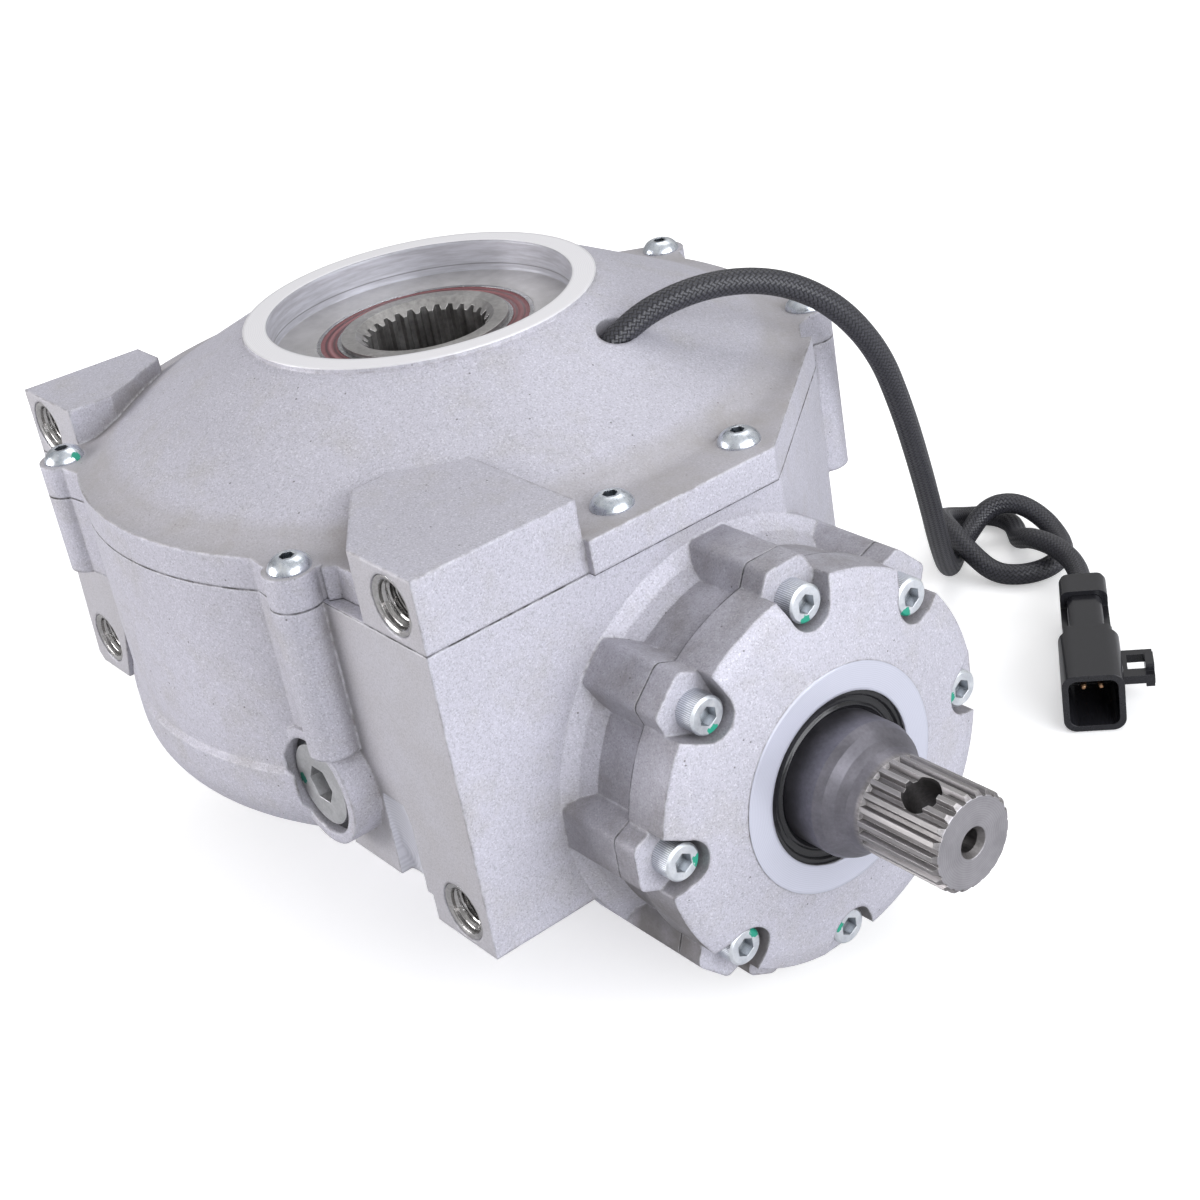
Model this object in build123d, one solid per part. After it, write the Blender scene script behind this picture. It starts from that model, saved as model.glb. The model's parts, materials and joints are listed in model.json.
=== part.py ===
from build123d import *
import math
import os

# Front differential with an electrically engaged roller clutch, millimetres.
# Z is the output axis, X the input axis pointing out of the nose.
# The part stands on the machined ring of its lower output.

# Main castings
axis_height = 55.0          # input axis above the lower output face
output_span = 138.0         # from the lower output face to the upper one
parting_height = 107.7      # joint between case and output cover
case_radius = 87.0
case_wall = 6.5
bowl_floor = 41.0           # underside of the case round the lower output boss
bowl_wall = 5.5
bowl_corner = 14.0
ledge_height = 62.0         # below it the case is a little wider
ledge_step = 1.0
ring_radius = 42.0          # machined ring round each output
recess_radius = 36.3
recess_depth = 7.7
flange_thickness = 7.8
dome_rim = 2.8039           # flat rim between the cone of the cover and its round edge
dome_foot_rounding = 9.0    # or as much as the rim leaves room for
pad_height = 16.6           # mounting pads above the joint
mount_face = 70.9           # distance of the insert face from the output axis
nose_wall_x = 95.5          # flat front wall that carries the nose
front_flange_x = 97.5
flank_angle = 38.5          # the flat flank beside the nose
flank_distance = 88.5
flank_run = 14.0            # from the point nearest the axis towards the back
wall_foot = 34.5            # lower edge of the front wall
pocket_radius = 24.5        # room for the pinion below the floor of the case
pocket_start = 50.5
rib_count = 6               # under the case, between the boss and the edge
rib_thickness = 5.0

# Cover screws, M5 button heads on one circle
cover_screw_offset = 3.4    # of the screw circle outside the case radius
cover_screw_angles = (-121.9, -54.7, -11.2, 11.2, 60.0, 103.2, 150.0)
screw_radius = 2.5
screw_hole_slack = 0.25
button_head_radius = 4.75
button_head_height = 2.75
ear_radius = 6.0
ear_flare = 9.0             # the ear is this much wider each side at its root
cover_screw_length = 20.0

# Nose and pinion cover
nose_radius = 43.0
nose_joint_x = 113.0
pinion_cover_thickness = 15.0
pinion_cover_radius = 44.6
pinion_boss_radius = 25.8
pinion_boss_height = 0.3
pinion_screw_circle = 40.5
pinion_screw_count = 8
lobe_reach = 48.5
lobe_width = 10.0           # at its outer end
lobe_flare = 3.0
spot_face_radius = 5.4
spot_face_mouth = 8.0       # half width where it opens at the rim
spot_face_depth = 6.5
cap_head_radius = 4.25
cap_head_height = 5.0
pinion_screw_length = 16.0

# Threaded inserts M10 in the mount face
insert_thread_radius = 4.25
insert_radius = 6.0
insert_length = 18.0
insert_counterbore = 6.8
insert_sink = 1.6
upper_insert_height = 116.0
insert_places = ((86.0, upper_insert_height), (85.5, 42.0),
                 (-68.5, upper_insert_height), (-72.5, 54.5))

# Bevel gears, straight teeth
pinion_teeth = 11
ring_teeth = 42
gear_module = 3.25
face_width = 16.0
pressure_angle = 20.0
gear_backlash = 0.36
ring_back = 86.5            # flat back of the ring gear
ring_journal_length = 12.5
ring_journal = 60.0         # large journal behind the ring gear
bushing_wall = 1.9
bushing_slack = 0.05

# Shafts, hubs and bearings
hub_spline_teeth = 28
hub_spline_root = 15.2
hub_spline_tip = 14.1
hub_journal = 20.0
hub_spline_depth = 36.0
output_bearing_outer = 26.0
output_bearing_width = 7.0
shaft_journal = 15.0
pinion_bearing_outer = 31.0
pinion_bearing_width = 16.0
pinion_bearing_starts = (72.6, 95.0)
input_spline_teeth = 22
input_spline_tip = 10.9
input_spline_root = 9.8
input_spline_start = 144.0
taper_start = 135.0         # the collar narrows to the spline from here
shaft_end_x = 165.0
cross_hole_radius = 4.1
cross_hole_x = 155.5
cross_hole_tilt = 20.0
seal_radius = 19.4
seal_width = 7.0

# Roller clutch
race_radius = 29.0
roller_radius = 4.0
roller_length = 19.0
roller_count = 10
roller_slack = 0.05         # between roller and hub race
cam_slack = 0.10            # between roller and the deepest part of its cam
cam_offset = 15.0           # centre of each cam arc from the axis
housing_radius = 43.0
housing_foot = 50.0
clutch_middle = 76.0
cage_inner = 29.7
cage_outer = 35.2
cage_ring = 3.0
running_gap = 0.3

# Coil and armature
coil_outer = 54.0
coil_inner = 26.0
coil_height = 13.0
coil_roof = 21.0            # from the upper output face down to the coil
armature_gap = 0.6          # between plate and coil, and a little less below the plate
armature_thickness = 2.6
armature_outer = 52.0
armature_inner = 24.0

# Plugs
plug_x = 47.0
plug_height = 61.6
plug_boss_radius = 14.0
plug_boss_height = 7.1      # in front of the insert face
plug_radius = 9.6
plug_recess_radius = 11.6
drain_x = -8.0
drain_rise = 12.0           # of its axis above the underside of the case
drain_head_radius = 9.0
drain_thread_radius = 6.0

# Round seals between the castings
seal_thickness = 1.84
seal_groove_depth = 1.9
seal_groove_width = 2.3
nose_seal_middle = 34.45

# Lead to the coil
cord_diameter = 6.0
cord_hole_radius = 4.3
cord_hole_foot = (45.8, 3.6, 118.0)
cord_hole_direction = (0.12, 0.76, 0.64)
cord_start = 7.0            # from the foot of the hole along it

# Two-way connector on the end of the lead
shroud_end = 56.0
shroud_width = 15.6
shroud_height = 16.4
connector_height = shroud_height / 2 + 0.1      # of the centre line above the surface
pin_radius = 0.8
pin_places = (-2.2, 2.2)

CENTRE = Align.CENTER
FOOT = (Align.CENTER, Align.CENTER, Align.MIN)
pinion_slope = math.degrees(math.atan(pinion_teeth / ring_teeth))
ring_slope = 90.0 - pinion_slope
ring_pitch_radius = gear_module * ring_teeth / 2
pinion_pitch_radius = gear_module * pinion_teeth / 2
cone_distance = math.hypot(ring_pitch_radius, pinion_pitch_radius)
gear_ratio = ring_teeth / pinion_teeth
ring_addendum = gear_module * (0.54 + 0.46 / gear_ratio ** 2)
pinion_addendum = 2 * gear_module - ring_addendum
whole_depth = 2.188 * gear_module
tooth_shift = (pinion_addendum - ring_addendum) * math.tan(math.radians(pressure_angle))
cover_screw_circle = case_radius + cover_screw_offset
flange_top = parting_height + flange_thickness
roller_circle = race_radius + roller_slack + roller_radius
cam_depth = roller_circle + roller_radius + cam_slack
nose_cover_x = nose_joint_x + pinion_cover_thickness
plug_face = mount_face + plug_boss_height
drain_face = case_radius + ledge_step + 1.5
drain_height = bowl_floor + drain_rise
coil_foot = output_span - coil_roof - coil_height
armature_foot = coil_foot - armature_gap - armature_thickness
housing_top = armature_foot - 0.4
ring_journal_top = ring_back + ring_journal_length


def polar(radius, degrees):
    a = math.radians(degrees)
    return radius * math.cos(a), radius * math.sin(a)


def cyl(radius, z0, z1, x=0.0, y=0.0):
    return Pos(x, y, z0) * Cylinder(radius, z1 - z0, align=FOOT)


def tube(outer, inner, z0, z1):
    return cyl(outer, z0, z1) - cyl(inner, z0 - 1, z1 + 1)


def cyl_x(radius, x0, x1, y=0.0, z=axis_height):
    return Location((x0, y, z), (0, 90, 0)) * Cylinder(radius, x1 - x0, align=FOOT)


def cyl_y(radius, y0, y1, x, z):
    return Location((x, y0, z), (-90, 0, 0)) * Cylinder(radius, y1 - y0, align=FOOT)


def slab(x0, x1, y0, y1, z0, z1):
    return Pos(x0, y0, z0) * Box(x1 - x0, y1 - y0, z1 - z0, align=(Align.MIN,) * 3)


def spin(points, rounding=()):
    """Solid of revolution about Z from (radius, height) points; rounding lists corners and their radii."""
    outline = make_face(Polyline(*points, close=True))
    for corner, radius in rounding:
        outline = fillet(outline.vertices().sort_by_distance((corner[0], corner[1], 0))[0], radius)
    return revolve(Plane.XZ * outline, Axis.Z)


def spin_x(points):
    """Solid of revolution about the input axis from (x, radius) points."""
    turned = spin([(r, x) for x, r in points])
    return Location((0, 0, axis_height), (0, 90, 0)) * turned


def prism(points, z0, z1):
    return extrude(Pos(0, 0, z0) * make_face(Polyline(*points, close=True)), z1 - z0)


def fused(shapes):
    whole = shapes[0]
    return whole.fuse(*shapes[1:]) if len(shapes) > 1 else whole


def ring_of(shape, places):
    return [Rot(0, 0, a) * shape for a in places]


def hex_prism(across, height):
    return extrude(RegularPolygon(across / math.sqrt(3), 6), height)


def toothed_outline(count, root, tip, root_share, tip_share):
    """Closed outline of straight-sided spline teeth."""
    points = []
    pitch = 360.0 / count
    for i in range(count):
        middle = i * pitch
        points.append(polar(root, middle - pitch * root_share / 2))
        points.append(polar(tip, middle - pitch * tip_share / 2))
        points.append(polar(tip, middle + pitch * tip_share / 2))
        points.append(polar(root, middle + pitch * root_share / 2))
    return make_face(Polyline(*points, close=True))


# Outlines that the case and its cover share

def screw_places():
    return [polar(cover_screw_circle, a) for a in cover_screw_angles]


def ear(index):
    """Ear round one cover screw, drawn in towards the case."""
    angle = cover_screw_angles[index]
    x, y = polar(cover_screw_circle, angle)
    foot = polar(case_radius - 4, angle)
    half = ear_radius + ear_flare
    a = math.radians(angle)
    side = (-math.sin(a) * half, math.cos(a) * half)
    tip = (-math.sin(a) * ear_radius, math.cos(a) * ear_radius)
    wedge = Polygon((foot[0] + side[0], foot[1] + side[1]), (foot[0] - side[0], foot[1] - side[1]),
                    (x - tip[0], y - tip[1]), (x + tip[0], y + tip[1]), align=None)
    return wedge + Pos(x, y) * Circle(ear_radius)


def flank_points(front):
    """Flat front and the flat flank beside the nose, as a plan outline."""
    a = math.radians(flank_angle)
    corner_y = (flank_distance - front * math.cos(a)) / math.sin(a)
    touch = polar(flank_distance, flank_angle)
    end = (touch[0] - flank_run * math.sin(a), touch[1] + flank_run * math.cos(a))
    return [(front, corner_y), end, (0.5 * end[0], 0.5 * end[1])]


def joint_outline(front):
    """Plan outline of the joint, without the mounting pads."""
    plan = Circle(case_radius) + Polygon((30, -30.8), (front, -30.8), *flank_points(front), align=None)
    for i in range(len(cover_screw_angles)):
        plan += ear(i)
    return plan + Polygon((50, -60), (58.5, -70), (60.2, -67.6), (73, -67.2), (73, -50), align=None)


def pad_plans():
    """Plan outlines of the right and the left mounting pad."""
    right = Polygon((73.0, -mount_face), (nose_wall_x, -mount_face),
                    (nose_wall_x, -30.8), (50, -30.8), (50, -55), align=None)
    left = Polygon((-77.0, -mount_face), (-52.0, -mount_face), (-51.0, -60.0),
                   (-63.0, -40.5), (-74.0, -40.5), align=None)
    return right, left


def dome():
    """Outside of the cover: flange, cone with a rounded foot, and the machined ring."""
    foot = case_radius - dome_rim
    slope = math.atan((output_span - 1 - flange_top) / (foot - ring_radius))
    rounding = min(dome_foot_rounding, 0.9 * dome_rim / math.tan(slope / 2))
    return spin([(0, parting_height), (case_radius, parting_height), (case_radius, flange_top),
                 (foot, flange_top), (ring_radius, output_span - 1), (ring_radius, output_span),
                 (0, output_span)],
                [((foot, flange_top), rounding)])


def output_cover():
    flange = extrude(Pos(0, 0, parting_height) * joint_outline(front_flange_x), flange_thickness)
    right, left = pad_plans()
    pads = extrude(Pos(0, 0, parting_height) * (right + left), pad_height)
    cover = fused([dome(), flange, pads])
    collar_bore = ring_journal + bushing_wall + 2 * bushing_slack
    collar = collar_bore + 5
    inside = case_radius - case_wall
    low = ring_back
    coil_top = coil_foot + coil_height
    cover -= spin([(collar, low), (inside, low), (inside, flange_top - 5.5), (collar, flange_top + 2)])
    cover -= cyl(coil_outer + 0.05, low, coil_top)
    cover -= cyl(collar_bore, low, parting_height)
    cover += tube(collar, collar_bore, ring_back + 0.7, parting_height + 1)
    cover += tube(coil_inner - 0.1, hub_journal + 1, coil_foot + 1.5, coil_top + 1)
    seat = output_span - recess_depth
    cover -= cyl(recess_radius, seat, output_span + 1)
    cover -= cyl(output_bearing_outer + 0.01, seat - output_bearing_width, output_span)
    cover -= cyl(hub_journal + 1, low, output_span)
    cover -= cord_hole()
    for x, y in screw_places():
        cover -= cyl(screw_radius + screw_hole_slack, parting_height - 1, flange_top + 1, x, y)
        cover -= cyl(button_head_radius + 0.9, flange_top, flange_top + 8, x, y)
    for x, z in insert_places:
        if z > parting_height:
            cover -= insert_pocket(x, z)
    return cover


def cord_hole():
    direction = Vector(*cord_hole_direction).normalized()
    start = Plane(origin=Vector(*cord_hole_foot) - direction * 4, z_dir=direction)
    return start * Cylinder(cord_hole_radius, 44, align=FOOT)


def cord_grommet():
    """Rubber bush that the lead leaves the coil through, low in its hole."""
    direction = Vector(*cord_hole_direction).normalized()
    start = Plane(origin=Vector(*cord_hole_foot) - direction * 4, z_dir=direction)
    bush = start * Cylinder(cord_hole_radius - 0.05, 4 + cord_start, align=FOOT)
    return bush & cyl(coil_outer, coil_foot + coil_height + 0.02, output_span)


def insert_pocket(x, z):
    bore = cyl_y(insert_radius + 0.01, -mount_face - 1, -mount_face + insert_sink + insert_length, x, z)
    mouth = cyl_y(insert_counterbore, -mount_face - 1, -mount_face + insert_sink, x, z)
    return bore + mouth


def case_shell():
    """Round outside of the case, with the lower output boss standing out of its underside."""
    low = case_radius + ledge_step
    return spin([(0, 0), (ring_radius, 0), (ring_radius, bowl_floor), (low, bowl_floor),
                 (low, ledge_height - ledge_step / 2), (case_radius, ledge_height + ledge_step / 2),
                 (case_radius, parting_height), (0, parting_height)],
                [((ring_radius, bowl_floor), 6.0), ((low, bowl_floor), bowl_corner)])


def case_room():
    """Space inside the case: the gear chamber and the well of the lower output boss."""
    inner = case_radius - case_wall
    floor = bowl_floor + bowl_wall
    well = ring_radius - bowl_wall
    bearing_roof = recess_depth + output_bearing_width + 1.3
    return spin([(0, bearing_roof), (well, bearing_roof), (well, floor), (inner, floor),
                 (inner, parting_height + 1), (0, parting_height + 1)],
                [((inner, floor), bowl_corner - 5.0), ((well, bearing_roof), 3.0)])


def case_ribs():
    """Sloping ribs under the case, spread round the side away from the nose."""
    ribs = []
    for i in range(rib_count):
        angle = 75.0 + i * 210.0 / (rib_count - 1)
        side = Polygon((ring_radius - 3, bowl_floor + 1), (case_radius - bowl_corner - 5, bowl_floor + 1),
                       (case_radius - bowl_corner - 5, bowl_floor - 2), (ring_radius + 2, bowl_floor - 15),
                       (ring_radius - 3, bowl_floor - 15), align=None)
        ribs.append(Rot(0, 0, angle) * extrude(Plane.XZ * side, rib_thickness / 2, both=True))
    return ribs


def insert_face():
    """Flat front of the case below the right pad, down to the lower insert."""
    plan = Polygon((56.5, parting_height), (52, 72), (43, bowl_floor), (74, bowl_floor), (74, wall_foot),
                   (nose_wall_x, wall_foot), (nose_wall_x, parting_height), align=None)
    return extrude(Plane.XZ.offset(40) * plan, mount_face - 40, dir=(0, -1, 0))


def main_case():
    wall = prism([(30, -41), (nose_wall_x, -41)] + flank_points(nose_wall_x), wall_foot, parting_height)
    lug = extrude(Plane.XZ.offset(40.5) * Polygon((-77.0, parting_height), (-82.6, 47), (-80.5, 45),
                  (-66, 45), (-60, 60), (-48, parting_height), align=None), mount_face - 40.5, dir=(0, -1, 0))
    columns = [extrude(Pos(0, 0, parting_height) * ear(i), -drop)
               for i, drop in ((0, 20), (1, 36), (4, 34), (5, 30), (6, 30))]
    plug_boss = cyl_y(plug_boss_radius, -plug_face, -60, plug_x, plug_height)
    nose = extrude(Plane.YZ.offset(85) * Pos(0, axis_height) * nose_outline(), nose_joint_x - 85)
    root = spin_x([(90, 0), (90, lobe_reach), (nose_wall_x, lobe_reach), (nose_wall_x + 2, nose_radius + 2.2),
                   (nose_wall_x + 5.5, nose_radius), (nose_wall_x + 5.5, 0)])
    drain = cyl_y(drain_head_radius + 2, 60, drain_face, drain_x, drain_height)
    neck = spin_x([(ring_radius - 4, 0), (ring_radius - 4, pocket_radius + 2.5),
                   (pocket_start, pocket_radius + 6),
                   (66, pinion_bearing_outer + 6.5), (90, nose_radius), (90, 0)])
    case = fused([case_shell(), neck, wall, insert_face(), lug, plug_boss, nose, root, drain]
                 + columns + case_ribs())
    case -= case_room()
    carrier = cyl_x(pinion_bearing_outer + 6, 60, nose_wall_x) - cyl(72.2, 0, parting_height)
    pedestal_bore = housing_radius + bushing_wall + 2 * bushing_slack
    pedestal = tube(pedestal_bore + 4.6, pedestal_bore, bowl_floor + bowl_wall - 2, housing_foot + 8)
    sleeve = tube(hub_journal + 10, hub_journal + 1, recess_depth + output_bearing_width, bowl_floor - 7)
    case = fused([case, carrier & cyl(case_radius - 1, wall_foot - 20, parting_height - 6), pedestal, sleeve])
    case -= cyl_x(pinion_bearing_outer + 0.01, pinion_bearing_starts[0], nose_joint_x + 1)
    case -= cyl_x(pocket_radius, pocket_start, pinion_bearing_starts[0] + 1)
    case -= cyl(recess_radius, -1, recess_depth)
    case -= cyl(output_bearing_outer + 0.01, -1, recess_depth + output_bearing_width)
    case -= cyl(hub_journal + 1, -1, bowl_floor)
    case -= nose_seal_groove() + joint_seal_groove()
    return case - case_holes() - tool_mark()


def tool_mark():
    """Shallow groove that the cutter left on the insert face beside the fill plug."""
    groove = Location((66.5, -mount_face - 11.2, ledge_height - 1), (8, 0, -6)) * Cylinder(12, 40, align=(
        CENTRE, CENTRE, Align.MAX))
    return groove & slab(plug_x + plug_boss_radius + 1, 72, -mount_face - 1, -mount_face + 3,
                         bowl_floor - 1, ledge_height + 2)


def case_holes():
    holes = [cyl(screw_radius + 0.02, parting_height - cover_screw_length, parting_height + 1, x, y)
             for x, y in screw_places()]
    for y, z in pinion_screw_places():
        holes.append(cyl_x(screw_radius + 0.02, nose_joint_x - pinion_screw_length, nose_joint_x + 1, y, z))
    holes += [insert_pocket(x, z) for x, z in insert_places if z < parting_height]
    holes.append(cyl_y(plug_recess_radius, -plug_face - 1, -plug_face + 4, plug_x, plug_height))
    holes.append(cyl_y(8.01, -plug_face - 1, -plug_face + 26, plug_x, plug_height))
    holes.append(cyl_y(drain_thread_radius + 0.01, 66, drain_face + 2, drain_x, drain_height))
    return fused(holes)


def case_seal_middle():
    return case_radius - case_wall / 2 - 0.25


def joint_seal_groove():
    half = seal_groove_width / 2
    return tube(case_seal_middle() + half, case_seal_middle() - half,
                parting_height - seal_groove_depth, parting_height + 1)


def case_seal():
    return Pos(0, 0, parting_height - seal_groove_depth / 2) * Torus(case_seal_middle(), seal_thickness / 2)


def nose_seal_groove():
    half = seal_groove_width / 2
    foot = nose_joint_x - seal_groove_depth
    return cyl_x(nose_seal_middle + half, foot, nose_joint_x + 1) \
        - cyl_x(nose_seal_middle - half, foot - 1, nose_joint_x + 2)


def nose_seal():
    place = Location((nose_joint_x - seal_groove_depth / 2, 0, axis_height), (0, 90, 0))
    return place * Torus(nose_seal_middle, seal_thickness / 2)


def nose_outline():
    """Round nose with a flared lobe at each screw, drawn with Y to the right and Z up."""
    plan = Circle(nose_radius)
    half = lobe_width / 2
    lobe = Polygon((30, -half - lobe_flare), (nose_radius - 1, -half - lobe_flare), (lobe_reach, -half),
                   (lobe_reach, half), (nose_radius - 1, half + lobe_flare), (30, half + lobe_flare),
                   align=None)
    lobe = fillet(lobe.vertices().group_by(Axis.X)[-1], 2.0)
    for i in range(pinion_screw_count):
        plan += Rot(0, 0, i * 360 / pinion_screw_count) * lobe
    tab = Rectangle(18, 9, align=(Align.MIN, CENTRE))
    tab = fillet(tab.vertices().group_by(Axis.X)[-1], 2.0)
    return plan + Rot(0, 0, -117) * Pos(30, 0) * tab


def pinion_screw_places():
    places = []
    for i in range(pinion_screw_count):
        y, z = polar(pinion_screw_circle, i * 360 / pinion_screw_count)
        places.append((y, axis_height + z))
    return places


def spot_face():
    """Outline of the seat cut for one screw head, open towards the rim, with the screw at the origin."""
    reach = lobe_reach - pinion_screw_circle + 2
    side = spot_face_radius - 0.2
    wedge = Polygon((-1.5, -side), (reach, -spot_face_mouth - 2), (reach, spot_face_mouth + 2), (-1.5, side),
                    align=None)
    return Circle(spot_face_radius) + wedge


def pinion_cover():
    body = extrude(Plane.YZ.offset(nose_joint_x) * Pos(0, axis_height) * nose_outline(), spot_face_depth)
    body += spin_x([(nose_joint_x, 0), (nose_joint_x, pinion_cover_radius),
                    (nose_cover_x - 4, pinion_cover_radius), (nose_cover_x - 2.6, 41),
                    (nose_cover_x, pinion_boss_radius + 0.6), (nose_cover_x, 0)])
    body += cyl_x(pinion_boss_radius, nose_joint_x + 1, nose_cover_x + pinion_boss_height)
    body += cyl_x(pinion_bearing_outer - 0.05, nose_joint_x - 1.9, nose_joint_x + 1)
    body -= cyl_x(26.5, nose_joint_x - 3, nose_joint_x + 3)
    body -= cyl_x(seal_radius + 0.01, nose_cover_x + pinion_boss_height - seal_width - 0.6, nose_cover_x + 9)
    body -= cyl_x(shaft_journal + 0.8, nose_joint_x - 3, nose_cover_x + 9)
    for y, z in pinion_screw_places():
        body -= cyl_x(screw_radius + screw_hole_slack, nose_joint_x - 1, nose_cover_x + 1, y, z)
    seat = Plane.YZ.offset(nose_joint_x + spot_face_depth) * Pos(0, axis_height)
    for i in range(pinion_screw_count):
        plan = Rot(0, 0, i * 360 / pinion_screw_count) * Pos(pinion_screw_circle, 0) * spot_face()
        body -= extrude(seat * plan, pinion_cover_thickness)
    return body


# Fasteners

def button_screw():
    dome = make_face([Line((0, 0), (button_head_radius, 0)),
                      Line((button_head_radius, 0), (button_head_radius, 0.35)),
                      ThreePointArc((button_head_radius, 0.35), (3.75, 1.95), (2.3, button_head_height)),
                      Line((2.3, button_head_height), (0, button_head_height)),
                      Line((0, button_head_height), (0, 0))])
    head = revolve(Plane.XZ * dome, Axis.Z)
    head -= Pos(0, 0, button_head_height - 1.7) * hex_prism(3.0, 3)
    return head + cyl(screw_radius, -cover_screw_length, 0.1)


def cap_screw():
    head = cyl(cap_head_radius, 0, cap_head_height)
    head = chamfer(head.edges().group_by(Axis.Z)[-1], 0.45)
    head -= Pos(0, 0, cap_head_height - 2.6) * hex_prism(4.0, 4)
    return head + cyl(screw_radius, -pinion_screw_length - 0.5, 0.1)


def cover_screws():
    return [Pos(x, y, flange_top) * button_screw() for x, y in screw_places()]


def pinion_cover_screws():
    seat = nose_joint_x + spot_face_depth
    return [Location((seat, y, z), (0, 90, 0)) * cap_screw() for y, z in pinion_screw_places()]


def threaded_inserts():
    start = -mount_face + insert_sink
    shell = [cyl_y(insert_radius, start, start + insert_length, x, z) for x, z in insert_places]
    bores = [cyl_y(insert_thread_radius, start - 1, start + insert_length + 1, x, z)
             for x, z in insert_places]
    return [outer - inner for outer, inner in zip(shell, bores)]


def fill_plug():
    face = -plug_face + 0.8
    body = cyl_y(plug_radius, face, -plug_face + 4, plug_x, plug_height)
    body += cyl_y(8.0, -plug_face + 3.9, -plug_face + 17, plug_x, plug_height)
    socket = Location((plug_x, face - 0.1, plug_height), (-90, 0, 0)) * hex_prism(8.0, 6)
    return body - socket


def fill_plug_seal():
    return cyl_y(plug_recess_radius - 0.02, -plug_face + 2.4, -plug_face + 4, plug_x, plug_height) \
        - cyl_y(plug_radius + 0.01, -plug_face, -plug_face + 5, plug_x, plug_height)


def drain_plug():
    head = cyl_y(drain_head_radius, drain_face, drain_face + 3, drain_x, drain_height)
    thread = cyl_y(drain_thread_radius, drain_face - 11, drain_face + 0.1, drain_x, drain_height)
    socket = Location((drain_x, drain_face + 3.1, drain_height), (90, 0, 0)) * hex_prism(6.0, 4.5)
    return head + thread - socket


# Bearings and seals

def race_pair(inner_bore, outer, width, foot, groove_radius, ball_radius):
    """Inner race, outer race and balls of a ball bearing about Z."""
    middle = foot + width / 2
    groove = Pos(0, 0, middle) * Torus(groove_radius, ball_radius + 0.03)
    gap = ball_radius * 0.62
    inner = tube(groove_radius - gap, inner_bore, foot, foot + width) - groove
    outer_race = tube(outer, groove_radius + gap, foot, foot + width) - groove
    return inner, outer_race


def balls(count, circle, radius, height):
    return [Rot(0, 0, i * 360 / count) * Pos(circle, 0, height) * Sphere(radius) for i in range(count)]


def output_bearing(foot):
    circle = (hub_journal + output_bearing_outer) / 2
    width = output_bearing_width
    inner, outer = race_pair(hub_journal + 0.01, output_bearing_outer, width, foot, circle, 1.75)
    rabbet = tube(circle + 2.1, circle - 1.9, foot - 1, foot + 1.0) \
        + tube(circle + 2.1, circle - 1.9, foot + width - 1.0, foot + width + 1)
    return inner - rabbet, outer - rabbet


def bearing_seals(foot):
    circle = (hub_journal + output_bearing_outer) / 2
    top = foot + output_bearing_width
    lower = tube(circle + 2.09, circle - 1.86, foot + 0.2, foot + 1.0)
    upper = tube(circle + 2.09, circle - 1.86, top - 1.0, top - 0.2)
    return [lower, upper]


def pinion_bearing(start):
    circle = (shaft_journal + pinion_bearing_outer) / 2
    inner, outer = race_pair(shaft_journal + 0.01, pinion_bearing_outer, pinion_bearing_width, 0, circle, 4.7)
    set_balls = balls(9, circle, 4.67, pinion_bearing_width / 2)
    place = Location((start, 0, axis_height), (0, 90, 0))
    return place * inner, place * outer, [place * b for b in set_balls]


def input_seal():
    front = nose_cover_x + pinion_boss_height - 0.6
    return spin_x([(front - seal_width, seal_radius), (front, seal_radius), (front, seal_radius - 1.1),
                   (front - 0.7, seal_radius - 1.5), (front - 0.7, shaft_journal + 1.6),
                   (front - 0.2, shaft_journal + 0.9), (front - 0.9, shaft_journal + 0.05),
                   (front - 1.6, shaft_journal + 1.0), (front - 3.4, shaft_journal + 1.3),
                   (front - 4.6, shaft_journal + 0.05), (front - 5.8, shaft_journal + 0.9),
                   (front - 5.8, seal_radius - 1.2), (front - seal_width, seal_radius - 1.2)])


def ring_bushing():
    inner = ring_journal + bushing_slack
    return tube(inner + bushing_wall, inner, ring_back + 1.5, ring_back + 11.5)


def housing_bushing():
    inner = housing_radius + bushing_slack
    return tube(inner + bushing_wall, inner, housing_foot + 0.6, 57.6)


def bearing_spacer():
    start = pinion_bearing_starts[0] + pinion_bearing_width
    return cyl_x(pinion_bearing_outer, start, pinion_bearing_starts[1]) \
        - cyl_x(pinion_bearing_outer - 3.5, start - 1, pinion_bearing_starts[1] + 1)


def shaft_ring():
    """Retaining ring in its groove behind the outer pinion bearing."""
    start = pinion_bearing_starts[1] + pinion_bearing_width + 0.05
    ring = cyl_x(shaft_journal + 2.4, start, start + 1.4) - cyl_x(shaft_journal - 0.75, start - 1, start + 3)
    return ring - slab(start - 1, start + 3, -2.5, 2.5, axis_height, axis_height + 30)


def hub_washer():
    return tube(26, 12, clutch_middle - 0.5, clutch_middle + 0.42)


# Bevel gears

def involute(angle):
    return math.tan(angle) - angle


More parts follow.
